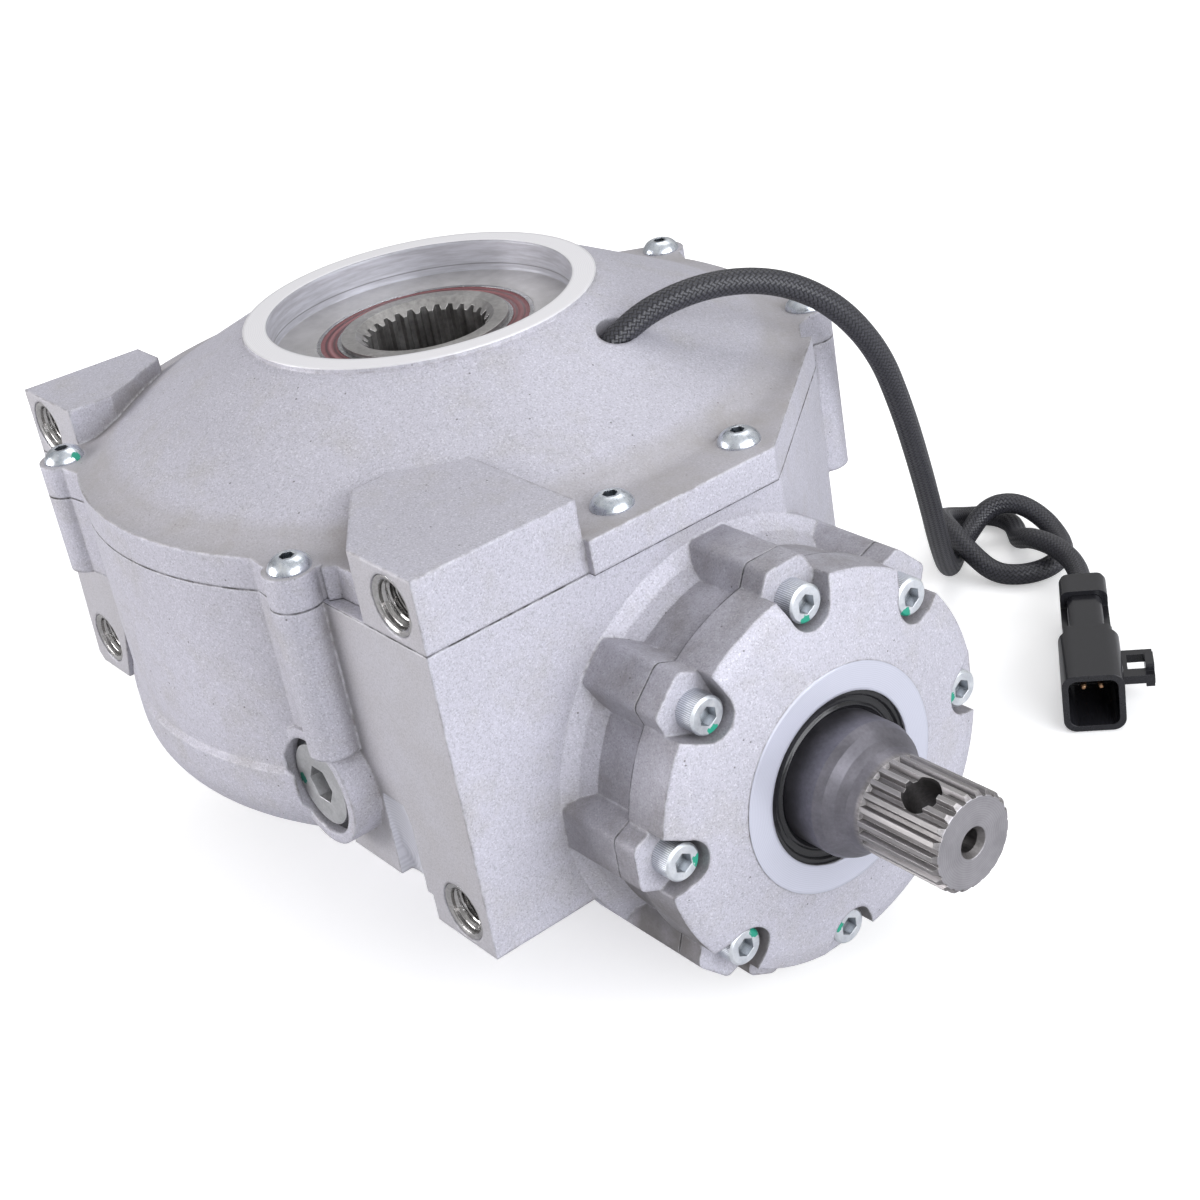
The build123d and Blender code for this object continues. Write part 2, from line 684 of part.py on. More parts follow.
def tooth(slope, addendum, dedendum, thickness, scale_span):
    """One bevel tooth with its apex at the origin and its axis along Z, centred on the XZ plane."""
    alpha = math.radians(pressure_angle)
    delta = math.radians(slope)
    wires = []
    for share in scale_span:
        size = cone_distance * share
        along = Vector(math.sin(delta), 0, math.cos(delta))
        up = Vector(math.cos(delta), 0, -math.sin(delta))
        virtual = size * math.tan(delta)
        base = virtual * math.cos(alpha)
        low = virtual - dedendum * share - 0.7 * share
        half = thickness * share / 2 / virtual
        radii = [virtual - dedendum * share * 0.75, virtual - dedendum * share * 0.25,
                 virtual + addendum * share * 0.45, virtual + addendum * share]
        flank = []
        for r in radii:
            lean = math.acos(min(1.0, base / r))
            flank.append((r, half + involute(alpha) - involute(lean)))
        flank.insert(0, (low, flank[0][1] + 0.02 * gear_module / virtual))
        side = [(r, a) for r, a in flank] + [(r, -a) for r, a in reversed(flank)]
        centre = along * size - up * virtual
        points = [centre + up * (r * math.cos(a)) + Vector(0, 1, 0) * (r * math.sin(a)) for r, a in side]
        wires.append(Wire.make_polygon(points, close=True))
    return Solid.make_loft(wires, ruled=True)


def gear_span():
    return 1.0, (cone_distance - face_width) / cone_distance


def cone_point(slope, share, normal_offset):
    """Radius and height of a point beside the pitch cone, apex at the origin."""
    d = math.radians(slope)
    size = cone_distance * share
    return size * math.sin(d) + normal_offset * share * math.cos(d), \
        size * math.cos(d) - normal_offset * share * math.sin(d)


def ring_gear():
    depth = whole_depth - ring_addendum
    outer_share, inner_share = gear_span()
    thickness = math.pi * gear_module / 2 - tooth_shift - gear_backlash / 2
    one = tooth(ring_slope, ring_addendum, depth, thickness, (outer_share, inner_share))
    r0, z0 = cone_point(ring_slope, outer_share, -depth)
    r1, z1 = cone_point(ring_slope, inner_share, -depth)
    lift = axis_height
    back = ring_back
    blank = spin([(r0 + 0.6, z0 + lift), (r0 + 0.6, back), (ring_journal, back),
                  (ring_journal, ring_journal_top), (ring_journal - 4, ring_journal_top),
                  (ring_journal - 5, back), (housing_radius, back), (housing_radius, housing_top),
                  (cage_outer, housing_top), (cage_outer, housing_foot), (housing_radius, housing_foot),
                  (housing_radius, z1 + lift - 2), (r1 - 1.0, z1 + lift)])
    teeth = [Rot(0, 0, i * 360 / ring_teeth) * Pos(0, 0, lift) * one for i in range(ring_teeth)]
    gear = blank.fuse(*[t if isinstance(t, Solid) else t.solids()[0] for t in teeth])
    cam_radius = cam_depth - cam_offset
    arc = cyl(cam_radius, housing_foot - 1, housing_top + 1, cam_offset, 0)
    return gear.cut(*[Rot(0, 0, a) * arc for a in roller_angles()])


def roller_angles():
    return [i * 360 / roller_count for i in range(roller_count)]


def pinion_shaft():
    depth = whole_depth - pinion_addendum
    outer_share, inner_share = gear_span()
    thickness = math.pi * gear_module / 2 + tooth_shift - gear_backlash / 2
    one = tooth(pinion_slope, pinion_addendum, depth, thickness, (outer_share, inner_share))
    r0, x0 = cone_point(pinion_slope, outer_share, -depth)
    r1, x1 = cone_point(pinion_slope, inner_share, -depth)
    collar = 17.5
    shoulder = pinion_bearing_starts[0] - 0.01
    blank = spin([(0, x1), (r1, x1), (r0, x0), (collar, x0), (collar, shoulder), (shaft_journal, shoulder),
                  (shaft_journal, taper_start), (14.2, taper_start + 2), (12.6, taper_start + 4),
                  (11.5, taper_start + 6), (input_spline_tip, taper_start + 8),
                  (input_spline_tip - 0.2, input_spline_start), (input_spline_root, input_spline_start + 0.4),
                  (input_spline_root, shaft_end_x), (0, shaft_end_x)])
    teeth = [Rot(0, 0, i * 360 / pinion_teeth) * one for i in range(pinion_teeth)]
    shaft = blank.fuse(*teeth)
    outline = toothed_outline(input_spline_teeth, input_spline_root - 0.1, input_spline_tip, 0.72, 0.34)
    splines = extrude(Pos(0, 0, input_spline_start) * outline, shaft_end_x - input_spline_start)
    splines &= spin([(0, input_spline_start), (input_spline_tip + 0.1, input_spline_start),
                     (input_spline_tip + 0.1, shaft_end_x - 1.0),
                     (input_spline_tip - 1.0, shaft_end_x), (0, shaft_end_x)])
    shaft = shaft.fuse(*splines.solids())
    shaft = Location((0, 0, axis_height), (0, 90, 0)) * shaft
    across = Location((cross_hole_x, 0, axis_height), (cross_hole_tilt, 0, 0))
    shaft -= across * Cylinder(cross_hole_radius, 40)
    groove = pinion_bearing_starts[1] + pinion_bearing_width + 0.02
    shaft -= cyl_x(shaft_journal + 3, groove, groove + 1.46) \
        - cyl_x(shaft_journal - 0.8, groove - 1, groove + 3)
    centre = spin_x([(shaft_end_x - 12, 0), (shaft_end_x - 10, 2.6), (shaft_end_x - 1.4, 2.6),
                     (shaft_end_x + 0.5, 3.9), (shaft_end_x + 1, 3.9), (shaft_end_x + 1, 0)])
    return shaft - centre


# Output hubs and roller clutch

def output_hub(end, race_start, race_end):
    """One hub about Z from its outer end to its race, both given as heights."""
    up = 1 if end > race_start else -1
    inner_end = race_end
    z0, z1 = sorted((end, inner_end))
    body = cyl(hub_journal, z0, z1) + cyl(race_radius, *sorted((race_start, race_end)))
    splines = toothed_outline(hub_spline_teeth, hub_spline_root, hub_spline_tip, 0.66, 0.3)
    bore = extrude(Pos(0, 0, end) * splines, -up * hub_spline_depth)
    bottom = end - up * hub_spline_depth
    relief = cyl(hub_spline_root + 0.3, *sorted((bottom, bottom - up * 4)))
    mouth = spin([(0, end + up), (hub_spline_root + 1.4, end + up), (hub_spline_root + 1.4, end),
                  (hub_spline_tip, end - up * 2.4), (0, end - up * 2.4)])
    body -= bore
    body -= relief
    body -= mouth
    return body


def roll_cage():
    z0, z1 = housing_foot + 1.5, housing_top - 0.4
    middle = clutch_middle
    shell = tube(cage_outer, cage_inner, z0, z1)
    pocket = roller_length + 2 * running_gap
    half = math.degrees(roller_radius / roller_circle) + 3.0
    cuts = []
    for low in (middle - cage_ring / 2 - pocket, middle + cage_ring / 2):
        for a in roller_angles():
            wedge = prism([(20, -20 * math.tan(math.radians(half))), (45, -45 * math.tan(math.radians(half))),
                           (45, 45 * math.tan(math.radians(half))), (20, 20 * math.tan(math.radians(half)))],
                          low, low + pocket)
            cuts.append(Rot(0, 0, a) * wedge)
    cage = shell.cut(*cuts)
    dog = (cyl(cage_outer - 0.3, z1 - 1, armature_foot + armature_thickness - 0.1) - cyl(31.2, 90, 120)) \
        & slab(20, 45, -4, 4, 90, 120)
    return cage.fuse(*[(Rot(0, 0, 18 + 90 * i) * dog).solids()[0] for i in range(4)])


def rollers():
    made = []
    for low in (clutch_middle - cage_ring / 2 - running_gap - roller_length,
                clutch_middle + cage_ring / 2 + running_gap):
        one = chamfer(cyl(roller_radius, low, low + roller_length, roller_circle, 0).edges(), 0.4)
        made += ring_of(one, roller_angles())
    return made


def armature():
    plate = tube(armature_outer, armature_inner, armature_foot, armature_foot + armature_thickness)
    notch = slab(20, cage_outer + 0.1, -4.3, 4.3, 90, 120) - cyl(31.0 - 0.1, 80, 130)
    return plate.cut(*[(Rot(0, 0, 18 + 90 * i) * notch).solids()[0] for i in range(4)])


def coil():
    top = coil_foot + coil_height
    shell = tube(coil_outer, coil_inner, coil_foot, top)
    return shell - tube(coil_outer - 5, coil_inner + 6, coil_foot - 1, coil_foot + 9)


def coil_winding():
    return tube(coil_outer - 5.05, coil_inner + 6.05, coil_foot + 0.6, coil_foot + 8.95)


# Lead and connector

def route_points():
    """Free points of the lead, from the cover to the back of the connector."""
    hole = Vector(*cord_hole_foot)
    direction = Vector(*cord_hole_direction).normalized()
    over_rim = [hole + direction * cord_start, hole + direction * 22, Vector(55, 37, 137),
                Vector(61, 54, 134.5), Vector(65, 69, 124.5)]
    falling = [Vector(65, 82, 107.5), Vector(60, 92.5, 87), Vector(53, 103, 66), Vector(44.5, 114, 45.5),
               Vector(35, 125, 27), Vector(26, 135.5, 13), Vector(18, 145, 4.3)]
    return over_rim + falling + knot_points()


def knot_points():
    """Loose overhand knot that lies on the surface, and the end that runs into the connector."""
    first_turn = [(11.5, 154.5, 3.1), (7.5, 163.5, 3.8), (8, 172.5, 9.8), (14, 178.5, 10.5),
                  (22.5, 180.5, 6.8), (31, 178, 3.1), (37.5, 172, 3.1), (40, 163.5, 3.1),
                  (37, 155.5, 3.1), (29.5, 151.3, 3.1)]
    second_turn = [(21.5, 150.5, 7.6), (13, 152.5, 11.2), (4, 157, 10.8), (-2, 164.5, 6.8), (-2, 173, 3.1),
                   (4, 178.5, 3.1), (12.5, 178, 3.1), (19.5, 172.5, 3.1), (25.5, 166.5, 6.5)]
    last_run = [(33, 163.5, 10.6), (41.5, 163.5, 10.6), (50, 161.5, 9.2), (57.5, 156, connector_height),
                (64, 149, connector_height)]
    return [Vector(*point) for point in first_turn + second_turn + last_run]


def cord_path(points):
    radii = []
    for i in range(1, len(points) - 1):
        before = points[i] - points[i - 1]
        after = points[i + 1] - points[i]
        turn = math.radians(before.get_angle(after))
        radii.append(0.45 * min(before.length, after.length) / math.tan(turn / 2))
    print("cord radii", [round(r, 1) for r in radii])
    return FilletPolyline(*points, radius=radii)


def cord():
    path = cord_path(route_points())
    start = Plane(origin=path @ 0, z_dir=path % 0)
    tube_solid = sweep(start * Circle(cord_diameter / 2), path=path)
    expected = math.pi * (cord_diameter / 2) ** 2 * path.length
    print("cord length", round(path.length, 1), "volume share", round(tube_solid.volume / expected, 4))
    return tube_solid


def connector_frame():
    """Frame of the connector: X out of its mouth, Y across, Z up, origin at the end of the lead."""
    last, end = route_points()[-2:]
    heading = Vector(end.X - last.X, end.Y - last.Y, 0)
    return Plane(origin=end, x_dir=heading, z_dir=(0, 0, 1))


def rounded_bar(x0, x1, width, height, radius):
    bar = Pos(x0, 0, 0) * Box(x1 - x0, width, height, align=(Align.MIN, CENTRE, CENTRE))
    return fillet(bar.edges().filter_by(Axis.X), radius)


def connector_body():
    body = rounded_bar(1.5, 28.0, 9.4, 10.4, 2.0)
    body += rounded_bar(27.5, 34.0, 12.8, 13.0, 1.8)
    shroud = rounded_bar(33.0, shroud_end, shroud_width, shroud_height, 3.4)
    shroud -= rounded_bar(36.0, shroud_end + 1, shroud_width - 3.2, shroud_height - 3.2, 2.2)
    body += shroud
    body -= Pos(1.0, 0, 0) * Box(1.0, 20, 20, align=(Align.MIN, CENTRE, CENTRE))
    wing = Pos(33, shroud_width / 2 - 0.5, -1.2) * Box(13.0, 8.5, 2.4, align=(Align.MIN,) * 3)
    window = Pos(35.4, shroud_width / 2 + 1.4, -3) * Box(7.0, 4.4, 6, align=(Align.MIN,) * 3)
    body += wing - window
    body += Pos(38, shroud_width / 2 + 5.8, -3.4) * Box(6.0, 2.2, 6.8, align=(Align.MIN,) * 3)
    pins = [Pos(33, y, 0) * Rot(0, 90, 0) * Cylinder(pin_radius + 0.01, 6, align=FOOT) for y in pin_places]
    return connector_frame() * (body - pins[0] - pins[1])


def connector_lock():
    collar = rounded_bar(0.4, 9.5, 12.6, 13.2, 2.4) - rounded_bar(-1, 11, 9.5, 10.5, 2.0)
    arms = [Pos(9.0, side * 5.55, -1.6) * Box(17.5, 1.5, 3.2, align=(Align.MIN, CENTRE, Align.MIN))
            for side in (-1, 1)]
    lip = rounded_bar(-0.8, 0.9, 12.0, 12.6, 2.2) \
        - Pos(-2, 0, 0) * Rot(0, 90, 0) * Cylinder(cord_diameter / 2 + 0.05, 5, align=FOOT)
    lip -= rounded_bar(0.35, 5, 9.5, 10.5, 2.0)
    return connector_frame() * fused([collar, lip] + arms)


def connector_terminals():
    pin = Rot(0, 90, 0) * Cylinder(pin_radius, 15, align=FOOT)
    return [connector_frame() * (Pos(33.2, y, 0) * chamfer(pin.edges().group_by(Axis.X)[-1], 0.35))
            for y in pin_places]


def main():
    os.makedirs("parts", exist_ok=True)
    upper_face = output_span - recess_depth
    upper_foot = upper_face - output_bearing_width
    upper_inner, upper_outer = output_bearing(upper_foot)
    lower_inner, lower_outer = output_bearing(recess_depth)
    inner_a, outer_a, balls_a = pinion_bearing(pinion_bearing_starts[0])
    inner_b, outer_b, balls_b = pinion_bearing(pinion_bearing_starts[1])
    nodes = {
        "main_case": main_case(), "output_cover": output_cover(), "pinion_cover": pinion_cover(),
        "case_seal_ring": case_seal(), "nose_seal_ring": nose_seal(),
        "cover_screws": cover_screws(), "pinion_cover_screws": pinion_cover_screws(),
        "threaded_inserts": threaded_inserts(), "fill_plug": fill_plug(), "fill_plug_seal": fill_plug_seal(),
        "drain_plug": drain_plug(), "input_seal": input_seal(),
        "upper_bearing_inner_race": upper_inner, "upper_bearing_outer_race": upper_outer,
        "upper_bearing_seals": bearing_seals(upper_foot),
        "lower_bearing_inner_race": lower_inner, "lower_bearing_outer_race": lower_outer,
        "lower_bearing_seals": bearing_seals(recess_depth),
        "pinion_bearing_outer_races": [outer_a, outer_b], "pinion_bearing_inner_races": [inner_a, inner_b],
        "pinion_bearing_balls": balls_a + balls_b,
        "ring_gear": ring_gear(), "pinion_shaft": pinion_shaft(),
        "upper_output_hub": output_hub(upper_face + 1.0, clutch_middle + 23, clutch_middle + 0.5),
        "lower_output_hub": output_hub(recess_depth - 1.0, clutch_middle - 23, clutch_middle - 0.5),
        "roll_cage": roll_cage(), "rollers": rollers(), "armature_plate": armature(),
        "coil_shell": coil(), "coil_winding": coil_winding(), "cord_sleeve": cord(),
        "cord_grommet": cord_grommet(), "connector_body": connector_body(),
        "connector_lock": connector_lock(), "connector_terminals": connector_terminals(),
        "ring_gear_bushing": ring_bushing(),
        "housing_bushing": housing_bushing(), "bearing_spacer": bearing_spacer(),
        "shaft_retaining_ring": shaft_ring(), "hub_thrust_washer": hub_washer(),
    }
    for name, shape in nodes.items():
        if isinstance(shape, list):
            shape = Compound(children=[s for item in shape for s in item.solids()])
        export_step(shape, "parts/" + name + ".step")


main()
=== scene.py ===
import bpy
import bmesh
import json
import math
from mathutils import Matrix, Vector


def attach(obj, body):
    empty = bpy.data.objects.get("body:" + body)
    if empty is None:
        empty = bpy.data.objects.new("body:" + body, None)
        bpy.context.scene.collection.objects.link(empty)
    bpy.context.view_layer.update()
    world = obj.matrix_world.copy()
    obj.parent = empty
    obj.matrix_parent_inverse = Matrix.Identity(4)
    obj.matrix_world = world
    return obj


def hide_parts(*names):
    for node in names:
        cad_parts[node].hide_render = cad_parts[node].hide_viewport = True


# The looks of the front differential, in metres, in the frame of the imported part.

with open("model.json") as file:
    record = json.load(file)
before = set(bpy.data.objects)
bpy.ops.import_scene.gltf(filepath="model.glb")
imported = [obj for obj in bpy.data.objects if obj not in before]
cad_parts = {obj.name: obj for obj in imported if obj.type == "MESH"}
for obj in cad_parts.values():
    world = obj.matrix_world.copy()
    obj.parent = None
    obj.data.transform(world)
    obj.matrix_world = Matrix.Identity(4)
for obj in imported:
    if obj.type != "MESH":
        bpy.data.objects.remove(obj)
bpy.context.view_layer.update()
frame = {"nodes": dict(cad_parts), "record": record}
nodes = frame["nodes"]

# Places and sizes of the solids that the finishes follow

AXIS_HEIGHT = 0.055         # of the input axis over the lower output ring
RING_FACE = 0.138           # machined ring of the output cover
PARTING = 0.1077            # joint between case and output cover
FLANGE_TOP = 0.1155         # top of the output cover's flange
RECESS_FLOOR = 0.1303       # of the recess round the upper output
RECESS_RADIUS = 0.0363
BOSS_FACE = 0.1283          # machined ring of the nose cover
NOSE_JOINT = 0.113          # joint between nose and nose cover
NOSE_REACH = 0.050          # from the input axis, just past the nose's lobes
MOUNT_FACE = 0.0709         # machined face that carries the inserts
GROOVE_X = (0.0611, 0.0722)  # box round the groove that the cutter left in it
GROOVE_Y = (-0.07084, -0.0662)
GROOVE_TOP = 0.0645
CUTTER = (0.060, 0.046)     # middle of the cutter's arcs, along X and Z
SPLINE_START = 0.1440       # on the input shaft
SPLINE_TIP = 0.0109
SPLINE_ROOT = 0.0098
SHAFT_END = 0.165
NOSE_SCREW_CIRCLE = 0.0405
NOSE_SCREWS = 8
CAP_FACE = 0.1245           # outer face of the nose screws' heads
CAP_SIDE = 0.00418          # just inside the round side of these heads
CAP_KNURLS = 60
COVER_SCREW_CIRCLE = 0.0904
PLUG_FACE = 0.0772
SEAL_GROOVES = (0.0219, 0.0238)
SEAL_RIDGE = 0.0229         # between the two grooves of the bearing seal

# Inserts: place of each along X and Z, its threaded tube, and the radius and depth of each ring of its collar

INSERT_PLACES = ((0.086, 0.116), (0.0855, 0.042), (-0.0685, 0.116), (-0.0725, 0.0545))
INSERT_START = -0.0693      # bottom of the counterbore, along Y
INSERT_LENGTH = 0.018
INSERT_RADIUS = 0.0059
INSERT_COLLAR = ((0.00512, -0.0001), (0.00525, -0.0009), (0.00550, -0.0012), (0.00605, -0.00145),
                 (0.0066, -0.00145), (0.0067, -0.0012), (0.0067, -0.00003))
THREAD_PITCH = 0.0015
THREAD_CREST = 0.00425
THREAD_VALLEY = 0.00498
THREAD_SLOPE = 2.9          # of the flanks, in threads' heights over a pitch
THREAD_FLAT = 0.55          # the higher, the wider the flat crest
CHAMFER_SLOPE = 0.8         # at both ends of the thread
INSERT_SIDES = 48
THREAD_ROWS = 145

# Lead: its tube, and the threads of its braid that lie side by side round it

LEAD_RADIUS = 0.003
LEAD_SIDES = 24
THREADS = 14

# Colours that several finishes share

PAINT = (0.012, 0.27, 0.18)
CORNER_SHADE_AND_GRIME = (0.20, 0.185, 0.175)
STAIN = (0.20, 0.175, 0.155)
WORN_EDGE_HIGHLIGHT = (0.80, 0.80, 0.85)
JOINT_LINE = (0.05, 0.047, 0.045)
BLACK_RUBBER = (0.014, 0.014, 0.016)

# Camera of the photograph: its place, and its right, up and back directions

CAMERA_PLACE = (0.41026, -0.23959, 0.30223)
CAMERA_AXES = ((0.61761, 0.76967, -0.16176),
               (-0.28212, 0.40879, 0.86793),
               (0.73414, -0.49041, 0.46962))
CAMERA_SENSOR = 36
CAMERA_LENS = 63.573


# Node helpers

def new_material(name):
    mat = bpy.data.materials.new(name)
    mat.use_nodes = True
    tree = mat.node_tree
    return mat, tree, tree.nodes["Principled BSDF"]


def add(tree, kind, **values):
    node = tree.nodes.new(kind)
    for key, value in values.items():
        setattr(node, key, value)
    return node


def put(tree, socket, value):
    """Link or set one input."""
    if isinstance(value, (int, float)):
        socket.default_value = value
    elif isinstance(value, tuple):
        size = len(socket.default_value)
        socket.default_value = value if len(value) == size else (*value, 1)
    else:
        tree.links.new(value, socket)


def dress(tree, shader, color, roughness, normal, metallic=0.0):
    """Give the shader its colour, roughness, normal and metal, each a constant or another node's output."""
    put(tree, shader.inputs["Base Color"], color)
    put(tree, shader.inputs["Roughness"], roughness)
    put(tree, shader.inputs["Normal"], normal)
    put(tree, shader.inputs["Metallic"], metallic)


def scaled(color, factor, offset=0.0):
    """The colour times a factor, plus an offset, and nowhere over 1."""
    return tuple(min(1, c * factor + offset) for c in color)


def position(tree):
    return add(tree, "ShaderNodeTexCoord").outputs["Object"]


def split(tree, vector=None):
    node = add(tree, "ShaderNodeSeparateXYZ")
    tree.links.new(vector or position(tree), node.inputs["Vector"])
    return node.outputs["X"], node.outputs["Y"], node.outputs["Z"]


def place(tree, axis):
    """Coordinate along X, Y or Z."""
    return split(tree)["XYZ".index(axis)]


def facing(tree, axis):
    """How far the surface faces along X, Y or Z, from -1 to 1."""
    normal = add(tree, "ShaderNodeNewGeometry").outputs["True Normal"]
    return split(tree, normal)["XYZ".index(axis)]


def noise(tree, size, detail=3.0, rough=0.55, stretch=(1, 1, 1)):
    """Noise with features of about this size in metres."""
    mapping = add(tree, "ShaderNodeMapping")
    mapping.inputs["Scale"].default_value = stretch
    tree.links.new(position(tree), mapping.inputs["Vector"])
    node = add(tree, "ShaderNodeTexNoise")
    node.inputs["Scale"].default_value = 1 / size
    node.inputs["Detail"].default_value = detail
    node.inputs["Roughness"].default_value = rough
    tree.links.new(mapping.outputs["Vector"], node.inputs["Vector"])
    return node.outputs["Fac"]


def cells(tree, size):
    """A random number for each small cell, and the distance from its middle."""
    node = add(tree, "ShaderNodeTexVoronoi")
    node.inputs["Scale"].default_value = 1 / size
    tree.links.new(position(tree), node.inputs["Vector"])
    part = add(tree, "ShaderNodeSeparateColor")
    tree.links.new(node.outputs["Color"], part.inputs["Color"])
    return part.outputs[0], node.outputs["Distance"]


def ramp(tree, value, stops):
    node = add(tree, "ShaderNodeValToRGB")
    points = node.color_ramp.elements
    while len(points) < len(stops):
        points.new(0.5)
    for point, (where, color) in zip(points, stops):
        point.position = where
        color = (color,) * 3 if isinstance(color, (int, float)) else color
        point.color = (*color, 1)
    tree.links.new(value, node.inputs["Fac"])
    return node.outputs["Color"]


def calc(tree, operation, *values):
    node = add(tree, "ShaderNodeMath", operation=operation)
    for socket, value in zip(node.inputs, values):
        put(tree, socket, value)
    return node.outputs[0]


def product(tree, first, *others):
    for other in others:
        first = calc(tree, "MULTIPLY", first, other)
    return first


def invert(tree, value):
    return calc(tree, "SUBTRACT", 1.0, value)


def hypotenuse(tree, a, b):
    squares = [calc(tree, "POWER", side, 2.0) for side in (a, b)]
    return calc(tree, "SQRT", calc(tree, "ADD", *squares))


def wave(tree, phase):
    """Sine of the phase, brought between 0 and 1."""
    return calc(tree, "MULTIPLY_ADD", calc(tree, "SINE", phase), 0.5, 0.5)


def limits(tree, value, low, high):
    """0 below the low value, 1 above the high one."""
    node = add(tree, "ShaderNodeMapRange", clamp=True)
    node.inputs["From Min"].default_value = low
    node.inputs["From Max"].default_value = high
    tree.links.new(value, node.inputs["Value"])
    return node.outputs["Result"]


def above(tree, value, edge, soft=0.00008):
    return limits(tree, value, edge - soft, edge + soft)


def below(tree, value, edge, soft=0.00008):
    return invert(tree, above(tree, value, edge, soft))


def band(tree, value, middle, half):
    """1 within half of the middle, falling off softly."""
    away = calc(tree, "ABSOLUTE", calc(tree, "SUBTRACT", value, middle))
    return invert(tree, limits(tree, away, half * 0.6, half * 1.4))


def blend(tree, factor, a, b, kind="MIX"):
    node = add(tree, "ShaderNodeMix", data_type="RGBA", blend_type=kind)
    put(tree, node.inputs["Factor"], factor)
    put(tree, node.inputs[6], a)
    put(tree, node.inputs[7], b)
    return node.outputs[2]


def grey(tree, factor, a, level):
    """Blend towards a grey, for roughness."""
    return blend(tree, factor, a, (level,) * 3)


def times(tree, a, b):
    return blend(tree, 1.0, a, b, "MULTIPLY")


def mix_numbers(tree, factor, a, b):
    node = add(tree, "ShaderNodeMix", data_type="FLOAT")
    put(tree, node.inputs["Factor"], factor)
    put(tree, node.inputs[2], a)
    put(tree, node.inputs[3], b)
    return node.outputs[0]


def bump(tree, height, strength, distance, under=None):
    """Normal of a relief, on top of the normal under it."""
    node = add(tree, "ShaderNodeBump")
    put(tree, node.inputs["Strength"], strength)
    node.inputs["Distance"].default_value = distance
    tree.links.new(height, node.inputs["Height"])
    if under is not None:
        tree.links.new(under, node.inputs["Normal"])
    return node.outputs["Normal"]


def radius_about(tree, axis):
    """Distance from the output axis or from the input axis."""
    x, y, z = split(tree)
    if axis == "Z":
        return hypotenuse(tree, x, y)
    return hypotenuse(tree, y, calc(tree, "SUBTRACT", z, AXIS_HEIGHT))


def turning_lines(tree, axis, pitch):
    """Fine rings about an axis, as a lathe leaves them."""
    phase = calc(tree, "MULTIPLY", radius_about(tree, axis), 2 * math.pi / pitch)
    uneven = calc(tree, "MULTIPLY", noise(tree, 0.004, 2), 5.0)
    return wave(tree, calc(tree, "ADD", phase, uneven))


def rounded_edges(tree, radius):
    """Normal with softened edges, and a mask of those edges."""
    bevel = add(tree, "ShaderNodeBevel", samples=4)
    bevel.inputs["Radius"].default_value = radius
    geometry = add(tree, "ShaderNodeNewGeometry")
    dot = add(tree, "ShaderNodeVectorMath", operation="DOT_PRODUCT")
    tree.links.new(bevel.outputs["Normal"], dot.inputs[0])
    tree.links.new(geometry.outputs["Normal"], dot.inputs[1])
    return bevel.outputs["Normal"], invert(tree, limits(tree, dot.outputs["Value"], 0.80, 0.985))


def painted_corner_shade(tree, reach):
    """Dark where other surfaces stand close, for the painted shade and dirt in corners."""
    node = add(tree, "ShaderNodeAmbientOcclusion", samples=6, only_local=True)
    node.inputs["Distance"].default_value = reach
    return invert(tree, limits(tree, node.outputs["AO"], 0.35, 0.95))


def paint_dabs(tree, points, size):
    """Mask of small uneven dabs of paint at the given points."""
    uneven = calc(tree, "MULTIPLY_ADD", noise(tree, 0.0011, 2), 1.6 * size, -0.8 * size)
    mask = None
    for point in points:
        node = add(tree, "ShaderNodeVectorMath", operation="DISTANCE")
        tree.links.new(position(tree), node.inputs[0])
        node.inputs[1].default_value = point
        away = calc(tree, "ADD", node.outputs["Value"], uneven)
        here = invert(tree, limits(tree, away, size * 0.92, size * 1.08))
        mask = here if mask is None else calc(tree, "MAXIMUM", mask, here)
    return mask


# Castings

def top_ring(tree):
    return above(tree, place(tree, "Z"), RING_FACE - 0.00015)


def boss_ring(tree):
    return above(tree, place(tree, "X"), BOSS_FACE - 0.00015)


def lower_ring(tree):
    return below(tree, place(tree, "Z"), 0.00015)


def mounting_face(tree):
    flat = calc(tree, "LESS_THAN", facing(tree, "Y"), -0.97)
    return product(tree, flat, band(tree, place(tree, "Y"), -MOUNT_FACE, 0.0003))


def groove_marks(tree):
    """Mask of the cutter's groove beside the fill plug, and the arcs in it."""
    x, y, z = split(tree)
    inside = product(tree, above(tree, x, GROOVE_X[0]), below(tree, x, GROOVE_X[1]))
    deep = product(tree, above(tree, y, GROOVE_Y[0], 0.00003), below(tree, y, GROOVE_Y[1]))
    mask = product(tree, inside, deep, below(tree, z, GROOVE_TOP))
    across, up = (calc(tree, "SUBTRACT", value, middle) for value, middle in zip((x, z), CUTTER))
    arcs = wave(tree, calc(tree, "MULTIPLY", hypotenuse(tree, across, up), 2 * math.pi / 0.0009))
    return mask, ramp(tree, arcs, [(0.2, (0.60, 0.60, 0.65)), (0.8, (0.68, 0.68, 0.73))])


